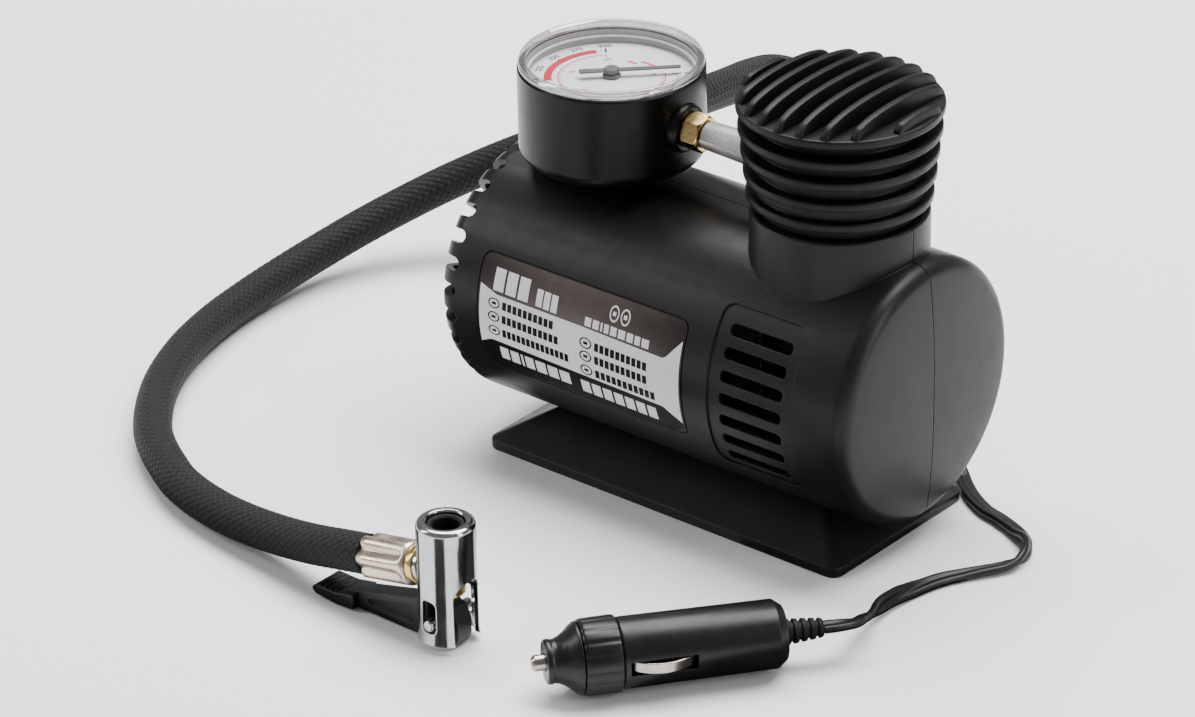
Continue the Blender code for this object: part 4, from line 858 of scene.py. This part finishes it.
def make_head_cover():
    top = Matrix.Translation((HEAD_X, 0, 0))
    core, bore, low = 24.3, 21.5, NECK_TOP + 0.3
    profile = [(bore, low), (core - 0.8, low), (core - 0.8, low + 0.8)]
    for i in reversed(range(len(DISC_R))):
        z1 = DISC_TOP - DISC_PITCH * i
        z0, r = z1 - 2.85, DISC_R[i]
        disc = [(core, z0), (r, z0 + 0.25), (r, z1), (core, z1)]
        profile += soft([(core, z0 - 2)] + disc + [(core, z1 + 2)], 0.75, 4)[1:-1]
        if not i:
            profile = [p for p in profile if not (p[0] < 29 and p[1] > z1 - 0.5)]
    profile += [(r - 0.9, DISC_TOP), (0, DISC_TOP), (0, DISC_TOP - 3), (bore, DISC_TOP - 3)]
    cover = form("finned_cover", "head", "head_plastic", ["head_cover"], turn, profile, 96, top)
    carve(cover, guide(slab, ring(6.6, 32, TUBE_Z, 0), HEAD_X - 35, HEAD_X - 12,
                       place((0, 0, 0), (0, 0, 1), (1, 0, 0))))
    carve(cover, guide(slab, ring(7.6, 32), 14, 35, place((HEAD_X, 0, 110), (0, 0, 1), (-1, 1, 0))))
    settle(cover, 30)
    bm = bmesh.new()
    for k in range(-4, 5):
        crown_fin(bm, HEAD_X + 6.7 * k, 2.35, HEAD_X)
    piece("crown_fins", bm, "head", ROOT, smooth=40)


# ---- gauge ---------------------------------------------------------------------------
GAUGE_X, GAUGE_R = -40.7, 27.7
GAUGE_Z0, TUBE_Z, DIAL_Z, GAUGE_Z1, LENS_TOP = 93.5, 109.0, 117.6, 121.8, 124.6


def sector(bm, r0, r1, a0, a1, z, thick=0.04, steps=24):
    """Flat printed band between two world angles."""
    corners = ((r0, z), (r1, z), (r1, z + thick), (r0, z + thick))
    rows = []
    for i in range(steps + 1):
        c, s = polar(1, a0 + (a1 - a0) * i / steps)
        rows.append([bm.verts.new((GAUGE_X + r * c, r * s, h)) for r, h in corners])
    bridge(bm, rows)


def tick(bm, r0, r1, angle, width, z):
    half = math.degrees(width / 2 / ((r0 + r1) / 2))
    sector(bm, r0, r1, angle - half, angle + half, z, 0.04, 1)


def numeral(bm, text, radius, angle, size, z):
    """A number on the scale, standing with its head away from the dial's middle."""
    curve = bpy.data.curves.new("numeral", "FONT")
    curve.body, curve.size = text, size
    curve.align_x, curve.align_y = "CENTER", "CENTER"
    curve.extrude = 0.02
    curve.offset = 0.045
    curve.resolution_u = 3
    holder = bpy.data.objects.new("numeral", curve)
    SCENE.collection.objects.link(holder)
    bpy.context.view_layer.update()
    mesh = bpy.data.meshes.new_from_object(holder.evaluated_get(bpy.context.evaluated_depsgraph_get()))
    bpy.data.objects.remove(holder)
    a = math.radians(angle)
    mesh.transform(Matrix.Translation((GAUGE_X + radius * math.cos(a), radius * math.sin(a), z + 0.02))
                   @ Matrix.Rotation(a - math.pi / 2, 4, "Z"))
    bm.from_mesh(mesh)
    bpy.data.meshes.remove(mesh)


def scale_angle(share):
    """World angle of a share of full scale; zero is back and to the right and the scale runs clockwise."""
    return 45 - 270 * share


def make_dial():
    z = DIAL_Z + 0.02
    dress("gauge_dial", "dial")
    bm = bmesh.new()
    for i in range(61):
        major = i % 10 == 0
        low, high, width = (17.4, 20.4, 0.55) if major else (18.6, 19.6, 0.3)
        tick(bm, low, high, scale_angle(i / 60), width, z)
    for i in range(13):
        numeral(bm, str(25 * i), 22.1, scale_angle(i / 12), 2.7, z)
    piece("dial_print_black", bm, "ink", ROOT, smooth=0)
    form("dial_red_band", "red", "dial_face", (), sector,
         17.6, 19.9, -134, -216.5, z + 0.04, 0.03, 40, smooth=0)
    bm = bmesh.new()
    sector(bm, 15.6, 15.95, 45, -225, z, 0.04, 96)
    for i in range(41):
        major = i % 10 == 0
        tick(bm, 14.0 if major else 14.8, 15.7, scale_angle(i / 40), 0.42 if major else 0.26, z)
    for i in range(5):
        numeral(bm, str(5 * i), 12.2, scale_angle(i / 4), 2.5, z)
    for x, y, w in ((-1.6, 11.5, 3.4), (2.6, 13.6, 5.0)):
        slab(bm, box_outline(GAUGE_X + x - w / 2, GAUGE_X + x + w / 2, y - 0.5, y + 0.5), z, z + 0.04)
    piece("dial_print_pink", bm, "pink", ROOT, smooth=0)
    top = Matrix.Translation((GAUGE_X, 0, 0))
    wall = [(24.7, DIAL_Z + 0.1), (25.35, DIAL_Z + 0.1), (25.35, GAUGE_Z1 - 0.1), (25.0, GAUGE_Z1 - 0.1),
            (25.0, 120.0), (24.7, 119.9)]
    form("dial_surround", "liner", "gauge_plastic", (), turn, wall, 96, top)
    lip = soft([(24.2, 119.65), (24.95, 119.65), (24.95, 120.15), (24.2, 120.05)], 0.12, 2, True)
    form("dial_bezel", "bezel", "gauge_plastic", (), turn, lip, 96, top)


def make_pointer():
    matrix = Matrix.Translation((GAUGE_X, 0, 0)) @ Matrix.Rotation(math.radians(45), 4, "Z")
    z0, z1 = DIAL_Z + 1.9, DIAL_Z + 2.4
    edge = [(-9.6, -1.25), (-2.0, -1.1), (3.0, -0.95), (20.3, -0.75)]
    outline = soft(edge + [(x, -y) for x, y in reversed(edge)], 0.6, 3, True)
    needle = form("pointer_needle", "pointer", "pointer_grey", ["gauge_pointer"],
                  slab, outline, z0, z1, matrix, body="pointer")
    hub = [(0, 112.4), (0.8, 112.4), (0.8, DIAL_Z + 0.4), (2.7, DIAL_Z + 0.4), (2.7, DIAL_Z + 0.9),
           (1.5, DIAL_Z + 1.1), (1.5, z0 - 0.1), (2.3, z0 - 0.1), (2.3, z1 + 0.3), (1.9, z1 + 0.6),
           (0, z1 + 0.6)]
    carve(needle, guide(turn, soft(hub, 0.2, 2, keep=(1, 2)), 48, matrix), "UNION")
    settle(needle)


def make_gauge():
    top = Matrix.Translation((GAUGE_X, 0, 0))
    inner, floor = GAUGE_R - 2.2, GAUGE_Z0 + 2.5
    profile = [(0, GAUGE_Z0 - 2.6), (9, GAUGE_Z0 - 2.6), (9, GAUGE_Z0)]
    profile += arc(GAUGE_R - 4, GAUGE_Z0 + 4, 4, 270, 360, 8)
    profile += [(GAUGE_R, GAUGE_Z1 - 0.35), (GAUGE_R - 0.35, GAUGE_Z1), (inner + 0.3, GAUGE_Z1),
                (inner, GAUGE_Z1 - 0.3), (inner, floor), (0, floor)]
    cup = form("gauge_case", "gauge", "gauge_plastic", ["gauge_cup"], turn, profile, 128, top)
    along = at(ALONG_X, (0, 0, TUBE_Z))
    boss = [(0, GAUGE_X + 26.2), (7.4, GAUGE_X + 26.2), (7.4, -12.6), (7.1, -12.0), (6.5, -11.5),
            (0, -11.5)]
    carve(cup, guide(turn, boss, 64, along), "UNION")
    carve(cup, guide(slab, ring(2.9, 32), GAUGE_X + 18, -10.5, along))
    settle(cup, 30)
    make_dial()
    make_pointer()
    form("lens_window", "lens", "clear_lens", ["gauge_lens"],
         turn, rod(25.15, LENS_TOP - 1.5, LENS_TOP - 0.4), 128, top)
    rim = [(25.25, GAUGE_Z1 + 0.3), (27.4, GAUGE_Z1 + 0.3), (27.4, LENS_TOP - 1.3), (27.15, LENS_TOP - 0.9),
           (27.15, LENS_TOP - 0.6), (26.6, LENS_TOP), (25.9, LENS_TOP), (25.25, LENS_TOP - 0.5)]
    form("lens_rim", "rim", "clear_lens", (), turn, soft(rim, 0.3, 3, True), 128, top)


def make_outlet():
    """Brass nut and the rough cast tube between the gauge and the head."""
    matrix = at(ALONG_X, (0, 0, TUBE_Z))
    r = 10.0 / math.sqrt(3)
    hexagon = ring(r, 6, start=math.radians(12))
    nut = form("brass_nut", "brass", "brass", ["outlet_nut"], slab, hexagon, -11.2, -5.2, matrix)
    chamfer = [(0, -11.3), (4.9, -11.3), (r + 0.2, -10.2), (r + 0.2, -6.2), (4.9, -5.1), (0, -5.1)]
    carve(nut, guide(turn, chamfer, 64, matrix), "INTERSECT")
    carve(nut, guide(slab, ring(2.75, 32), -12.2, -4.2, matrix))
    bevel(settle(nut, 30), 0.12, 2, 25)
    top = Matrix.Translation((HEAD_X, 0, 0))
    bm = bmesh.new()
    turn(bm, soft(rod(16, 101.3, 117), 1.0, 3), 64, top)
    turn(bm, soft([(0, -14), (2.4, -14), (2.4, -4.9), (4.25, -4.9), (4.6, 6), (5.6, 30), (5.6, HEAD_X - 8),
                   (0, HEAD_X - 8)], 0.7, 3, keep=(1, 2, 5, 6)), 48, matrix)
    for side in (-1, 1):
        slab(bm, [(-0.35, 2.4), (0.35, 2.4), (0.35, 5.0), (-0.35, 5.0)], -4.2, 27,
             matrix @ Matrix.Rotation(math.radians(90 * side), 4, "Z"))
    turn(bm, rod(5, 8, 24.4), 32, place((HEAD_X, 0, 110), (0, 0, 1), (-1, 1, 0)))
    piece("cast_head_tube", bm, "cast", ROOT, ["cylinder_head"])


# ---- hose and chuck ------------------------------------------------------------------
HOSE_D = 12.2
HOSE_OUT = Vector((-math.sqrt(0.5), math.sqrt(0.5), 0.0))
CHUCK = Vector((0.8, -124.5, 0.0))
TAIL_TILT = math.radians(11.0)
HOSE_ROUTE = [
    (-0.7, 42.4, 108.7), (-15.4, 53.4, 104.9), (-31.6, 64.0, 98.3), (-47.2, 73.0, 89.4),
    (-63.5, 80.8, 78.8), (-83.1, 87.4, 66.8), (-102.0, 89.3, 56.8), (-118.2, 87.7, 48.6),
    (-132.3, 83.6, 41.4), (-144.6, 77.3, 35.1), (-155.2, 69.3, 29.2), (-164.1, 59.6, 23.8),
    (-171.4, 48.5, 18.8), (-176.9, 35.8, 14.6), (-180.7, 21.7, 11.0), (-182.6, 6.0, 8.4),
    (-182.4, -11.4, 6.8), (-179.4, -30.7, 6.3), (-172.6, -52.0, 6.3), (-160.8, -74.3, 6.3),
    (-142.8, -95.4, 6.3), (-121.1, -109.6, 6.3), (-107.5, -115.2, 6.4), (-93.2, -118.6, 6.9),
    (-80.3, -120.4, 7.8), (-67.5, -121.8, 9.4), (-55.0, -123.2, 11.7), (-45.5, -124.1, 13.9)]


def hose_point(distance):
    return Vector((HEAD_X, 0, 110)) + HOSE_OUT * distance


def tail_point(distance):
    return Vector((CHUCK.x - distance * math.cos(TAIL_TILT), CHUCK.y,
                   23.2 - distance * math.sin(TAIL_TILT)))


def make_hose():
    """Braided hose: crossing strands stand out of its surface."""
    ends = [hose_point(36.4), hose_point(46), tail_point(38.7), tail_point(29.7)]
    step, around = 0.7, 64
    path = smooth_route(ends[:2] + HOSE_ROUTE + ends[2:], step)
    strands, pitch = 16, 2.8
    unit = ring(1, around)

    def section(i, share):
        points = []
        for j, direction in enumerate(unit):
            a = j / around * strands + i * step / pitch
            b = j / around * strands - i * step / pitch
            over = abs(math.floor(a + 1e-6) + math.floor(b + 1e-6)) % 2
            across = a if over else b
            crown = math.sin(math.pi * (across + 1e-6 - math.floor(across + 1e-6)))
            r = HOSE_D / 2 - 0.3 + 0.16 * crown
            points.append((r * direction[0], r * direction[1]))
        return points

    hose = form("braided_hose", "braid", "hose_braid", ["air_hose"],
                sweep, path, section, strands, pitch, smooth=180)
    return hose, path


def fluted(bm, r_out, r_in, s0, s1, matrix, flutes, steps=96):
    """Crimped sleeve with long rounded flutes that fade out at its front end."""
    rings = []
    levels = [(s0, 0.0, 0.90), (s0 + 0.5, 0.1, 0.98), (s0 + 1.6, 0.35, 1.0), (s0 + 3.6, 1.0, 1.0),
              (s1 - 2.4, 1.0, 1.0), (s1 - 0.5, 1.0, 1.0), (s1, 1.0, 0.95)]
    for s, depth, k in levels:
        points = []
        for j in range(steps):
            a = 360 * j / steps
            wave = 0.5 + 0.5 * math.cos(math.radians(flutes * a))
            r = (r_out - (r_out - r_in) * depth * (1 - wave ** 0.7)) * k
            points.append(bm.verts.new(matrix @ Vector((*polar(r, a), s))))
        rings.append(points)
    bridge(bm, rings)


def make_fittings():
    tail = place(tail_point(0), (0, 1, 0), tail_point(1) - tail_point(0))
    turned = tail @ Matrix.Rotation(math.radians(12), 4, "Z")
    ferrule = form("crimped_ferrule", "champagne", "champagne_nickel", ["hose_ferrule"],
                   fluted, 6.65, 5.1, 11.4, 29.4, turned, 6, smooth=50)
    out = place((HEAD_X, 0, 110), (0, 0, 1), HOSE_OUT)
    form("root_ferrule", "champagne", "champagne_nickel", ["hose_root_ferrule"],
         fluted, 6.55, 5.6, 29.7, 36.1, out, 8, smooth=50)
    dress("hose_union", "brass", 0.3)
    band = soft([(5.35, 8.7), (5.85, 8.7), (5.85, 11.1), (5.35, 11.1)], 0.2, 2, True)
    return ferrule, form("tail_ring", "brass", "brass", (), turn, band, 48, tail)


def make_chuck():
    axis = Matrix.Translation(CHUCK)
    z0, z1, r, shell, bore = 2.5, 38.8, 8.5, 7.3, 5.6
    profile = [(shell, z0), (r + 0.35, z0), (r + 0.1, z0 + 1.2), (r, z0 + 2.5)]
    profile += arc(r - 1.6, z1 - 1.6, 1.6, 0, 90, 8)
    profile += [(bore + 0.4, z1), (bore, z1 - 0.4), (bore, 17.2), (shell, 17.0)]
    chuck = form("chuck_shell", "chrome", "chuck_chrome", ["chuck_body"], turn, profile, 96, axis)
    tail = place(tail_point(0), (0, 1, 0), tail_point(1) - tail_point(0))
    stub = [(0, 7.2), (5.4, 7.2), (5.4, 11.0), (3.9, 11.0), (3.9, 27), (0, 27)]
    carve(chuck, guide(turn, stub, 48, tail), "UNION")
    side = at(ALONG_X, (0, CHUCK.y, 0))
    arch = [(-5.2, 0)] + arc(0, 17, 5.2, 180, 0, 18) + [(5.2, 0)]
    carve(chuck, guide(slab, arch, CHUCK.x + 3, CHUCK.x + 12, side))
    carve(chuck, guide(slab, box_outline(-4.6, 4.6, 0, 15.2, 0.6), CHUCK.x - 12, CHUCK.x - 3, side))
    eyelet = box_outline(6.0, 16.4, CHUCK.x - 2.5, CHUCK.x + 2.5, 2.49, 8)
    carve(chuck, guide(slab, eyelet, CHUCK.y - 12, CHUCK.y + 12, ALONG_Y))
    settle(chuck, 30)
    collar = soft([(3.9, 27.5), (5.3, 27.5), (5.3, 37.8), (4.5, 37.8), (3.9, 37.2)], 0.2, 2, True)
    seal = form("valve_seal", "rubber", "black_rubber", ["chuck_seal"], turn, collar, 48, axis)
    pin = form("pivot_pin", "chrome", "chuck_chrome", ["chuck_pivot_pin"],
               turn, soft(rod(1.7, -8.9, 8.9), 0.5, 3), 32, at(ALONG_Y, (CHUCK.x, CHUCK.y, 8.4)))
    dress("chuck_depressor", "brass")
    return chuck, seal, pin


def make_lever():
    """Moulded thumb lever: an arm with a shallow pocket in each side and a wider paddle with a step."""
    matrix = at(ALONG_Y, (0, CHUCK.y, 0))
    arm = [(-36.0, 0.9), (-12.0, 0.45), (2.0, 0.35), (5.2, 0.6), (6.7, 3.4), (6.8, 8.4), (5.0, 12.4),
           (0.8, 14.2), (-4.0, 12.9), (-11.3, 11.1), (-30.0, 6.4), (-36.0, 4.6)]
    outline = soft([(z, x) for x, z in arm], 0.8, 3, True)
    lever = form("thumb_lever", "lever", "lever_plastic", ["chuck_lever"], slab, outline, -3.0, 3.0, matrix,
                 body="lever")
    carve(lever, guide(slab, ring(2.0, 24, 8.4, CHUCK.x), -9, 9, matrix))
    pocket = soft([(3.0, -27.0), (2.6, -10.0), (8.6, -10.0), (4.8, -27.0)], 1.0, 4, True)
    for y0, y1 in ((-4.0, -2.3), (2.3, 4.0)):
        carve(lever, guide(slab, pocket, y0, y1, matrix))
    settle(lever, 30)
    paddle = [(-46.6, 2.3), (-45.4, 1.2), (-38.0, 0.5), (-31.0, 0.8), (-31.0, 5.4), (-38.0, 4.0),
              (-45.4, 4.1), (-46.6, 3.3)]
    bm = bmesh.new()
    slab(bm, soft([(z, x) for x, z in paddle], 0.5, 3, True), -5.2, 5.2, matrix)
    for k in range(4):
        x = -44.6 + 2.0 * k
        slab(bm, [(3.8, x), (3.8, x + 0.9), (4.35, x + 0.75), (4.35, x + 0.15)], -4.6, 4.6, matrix)
    pad = piece("lever_paddle", bm, "lever", "lever")
    bevel(lever, 0.2, 2, 50)
    bevel(pad, 0.2, 2, 50)
    return lever, pad


# ---- power cord and plug -------------------------------------------------------------
PLUG_TIP = Vector((39.4, -134.3, 11.1))
PLUG_DIR = Vector((0.6157, 0.788, 0.0)).normalized()
CORD_ROUTE = [
    (51.0, 39.4, 9.3), (53.8, 41.4, 4.8), (58.0, 40.0, 2.5), (63.0, 35.6, 2.1), (68.5, 31.4, 2.1),
    (76.3, 27.0, 2.1), (83.1, 25.1, 2.1), (90.2, 22.4, 2.1), (97.0, 18.4, 2.1), (101.3, 12.4, 2.1),
    (101.7, 6.6, 2.1), (99.6, 1.6, 2.1), (96.6, -3.0, 2.1), (93.2, -8.4, 2.1), (90.4, -14.2, 2.1),
    (88.6, -20.4, 2.2), (87.7, -27.0, 2.5), (87.7, -34.0, 3.3), (88.9, -41.6, 4.6), (91.2, -49.0, 6.4),
    (93.6, -56.0, 8.7), (94.9, -61.0, 10.4)]


def cord_section(tilt):
    """Two round leads with a thin web between them, turned by tilt."""
    outline = []
    for centre, start in ((1.42, -145), (-1.42, 35)):
        for k in range(11):
            a = math.radians(start + 29 * k)
            outline.append((centre + 1.2 * math.cos(a), 1.2 * math.sin(a)))
    c, s = math.cos(tilt), math.sin(tilt)
    return [(x * c - y * s, x * s + y * c) for x, y in outline]


def make_cord():
    gland = radial(math.radians(225), 50.0)
    ends = [gland @ Vector((0, 0, s)) for s in (46.7, 51)] + [PLUG_TIP + PLUG_DIR * s for s in (87.4, 82.9)]
    path = smooth_route(ends[:2] + CORD_ROUTE + ends[2:], 0.8)
    turns = [(0.0, 0.0), (0.22, 0.1), (0.36, 0.25), (0.44, 1.35), (0.52, 2.9), (0.66, 3.3),
             (0.78, 4.4), (0.9, 5.9), (1.0, 6.283)]

    def tilt(share):
        for (a, p), (b, q) in zip(turns, turns[1:]):
            if share <= b:
                t = (share - a) / (b - a)
                return p + (q - p) * t * t * (3 - 2 * t)
        return turns[-1][1]

    rested = []
    for i, p in enumerate(path):
        t = tilt(i / (len(path) - 1))
        need = 1.2 + 1.42 * abs(math.sin(t)) + 0.05
        rested.append(Vector((p.x, p.y, need if p.z < need or p.z < 2.6 else p.z)))
    for _ in range(6):
        heights = [p.z for p in rested]
        for i in range(1, len(rested) - 1):
            rested[i].z = max(0.25 * heights[i - 1] + 0.5 * heights[i] + 0.25 * heights[i + 1], 0.0)

    def section(i, share):
        return cord_section(tilt(share))

    cord = form("twin_cord", "cord", "cord_rubber", ["power_cord"], sweep, rested, section, smooth=60)
    return cord, rested


def notched_ring(bm, matrix):
    """Collar of the plug, with grip notches along it."""
    notches, facets = 16, 8
    count = notches * facets
    loops = []
    for s, r in ((13.7, 10.2), (14.1, 10.65), (15.0, 10.85), (23.2, 10.98), (24.0, 10.85), (24.2, 10.5)):
        loop = []
        for i in range(count):
            phase = (i % facets) / facets
            notch = 0.26 * max(0.0, math.sin(math.pi * max(0.0, (phase - 0.62) / 0.38))) ** 0.7
            loop.append(bm.verts.new(matrix @ Vector((*polar(r - notch, 360 * i / count), s))))
        loops.append(loop)
    loops += [[bm.verts.new(matrix @ Vector((x, y, s))) for x, y in ring(8.6, count)] for s in (24.2, 13.7)]
    bridge(bm, loops + loops[:1], caps=False)


def make_plug():
    matrix = place(PLUG_TIP, (0, 0, 1), PLUG_DIR)
    body = [(7.2, 15), (8.3, 15), (8.3, 24.5), (9.8, 24.5), (10.1, 24.9), (9.75, 68.8), (7.8, 71.4),
            (0, 71.4), (0, 55), (7.2, 55)]
    barrel = form("plug_barrel", "plug", "plug_plastic", ["plug_body"], turn,
                  soft(body, 0.7, 4, keep=(0, 1, 2, 3, 8, 9)), 96, matrix)
    carve(barrel, guide(slab, box_outline(-2.1, 2.1, -14, 14), 26.2, 45.2, matrix))
    pieces = [settle(barrel, 30)]
    pieces.append(form("plug_ring", "plug", "plug_plastic", ["plug_collar"],
                       notched_ring, matrix, smooth=40))
    nose = [(2.7, 3.9), (5.9, 3.9), (6.35, 4.3), (6.4, 5.3), (6.15, 5.9), (6.3, 7.0), (6.9, 8.4),
            (7.9, 9.9), (9.2, 11.3), (10.2, 12.6), (10.4, 13.4), (7.2, 13.4), (7.2, 9.5), (2.7, 9.5)]
    pieces.append(form("plug_cone", "plug", "plug_plastic", ["plug_nose"], turn,
                       soft(nose, 0.5, 3, keep=(0, 11, 12, 13)), 96, matrix))
    relief = [(0, 71.8), (3.5, 71.8), (3.6, 72.6)]
    for i in range(4):
        s, r = 73.0 + 2.4 * i, 3.65 - 0.22 * i
        relief += [(r, s), (r - 0.75, s + 0.15), (r - 0.75, s + 0.95), (r - 0.05, s + 1.1)]
    relief += [(2.85, 81.8), (2.5, 82.6), (0, 82.6)]
    pieces.append(form("plug_cord_boot", "rubber", "black_rubber", ["plug_strain_relief"], turn,
                       soft(relief, 0.22, 2), 48, matrix))
    tip = make_tip(matrix)
    contacts = [make_contact(matrix, name, side) for name, side in (("front", 1), ("rear", -1))]
    dress("plug_fuse", "lens")
    return pieces + [tip] + contacts


def make_tip(matrix):
    outline = [(0, 0), (1.5, 0.1), (2.35, 1.0), (2.35, 9.8), (5.4, 9.8), (5.4, 11.3), (0, 11.3)]
    return form("tip_pin", "nickel", "contact_nickel", ["plug_tip"],
                turn, soft(outline, 0.5, 4, keep=(4, 5)), 48, matrix, body="tip")


def make_contact(matrix, name, side):
    """Bowed side contact, a strip with eased edges."""
    sideways = matrix @ Matrix(((0, 0, 1, 0), (1, 0, 0, 0), (0, 1, 0, 0), (0, 0, 0, 1)))
    outer, inner = [], []
    for i in range(25):
        u = i / 24 * 2 - 1
        y, s = 11.3 - 2.9 * u * u, 35.7 + 8.5 * u
        outer.append((side * y, s))
        inner.append((side * (y - 0.7), s))
    strip = form("contact_strip_" + name, "nickel", "contact_nickel", ["plug_contact_" + name], slab,
                 outer + inner[::-1], -1.6, 1.6, sideways, body="contact_" + name)
    return bevel(strip, 0.2, 2)


# ---- the rest of the CAD nodes -------------------------------------------------------
def dress_works():
    finishes = {
        "steel": ["motor_can", "rotor", "gear_frame"], "nylon": ["motor_end_bell", "crank_gear"],
        "magnet": ["magnet_front", "magnet_rear"], "brass": ["pinion", "gauge_movement"],
        "screw": ["gear_axle", "crank_pin", "wrist_pin", "cylinder_bolt_1", "cylinder_bolt_2"]
        + ["base_screw_%d" % i for i in range(1, 5)] + ["housing_screw_%d" % i for i in range(1, 5)],
        "cast": ["connecting_rod", "piston", "cylinder"], "rubber": ["piston_ring", "cord_gland"],
        "copper": ["bourdon_tube"]}
    for mat, names in finishes.items():
        for name in names:
            dress(name, mat)


MAT = make_materials()
make_camera()
make_light()
make_floor()
make_cards()
hose, hose_path = make_hose()
cord, cord_path = make_cord()
ferrule, tail_ring = make_fittings()
chuck, seal, pin = make_chuck()
lever, pad = make_lever()
plug_pieces = make_plug()
housing_half("housing_shell_front", -1, "housing_front")
housing_half("housing_shell_rear", 1, "housing_rear")
make_base()
make_label()
make_switch()
make_head_cover()
make_gauge()
make_outlet()
dress_works()

bpy.context.view_layer.update()
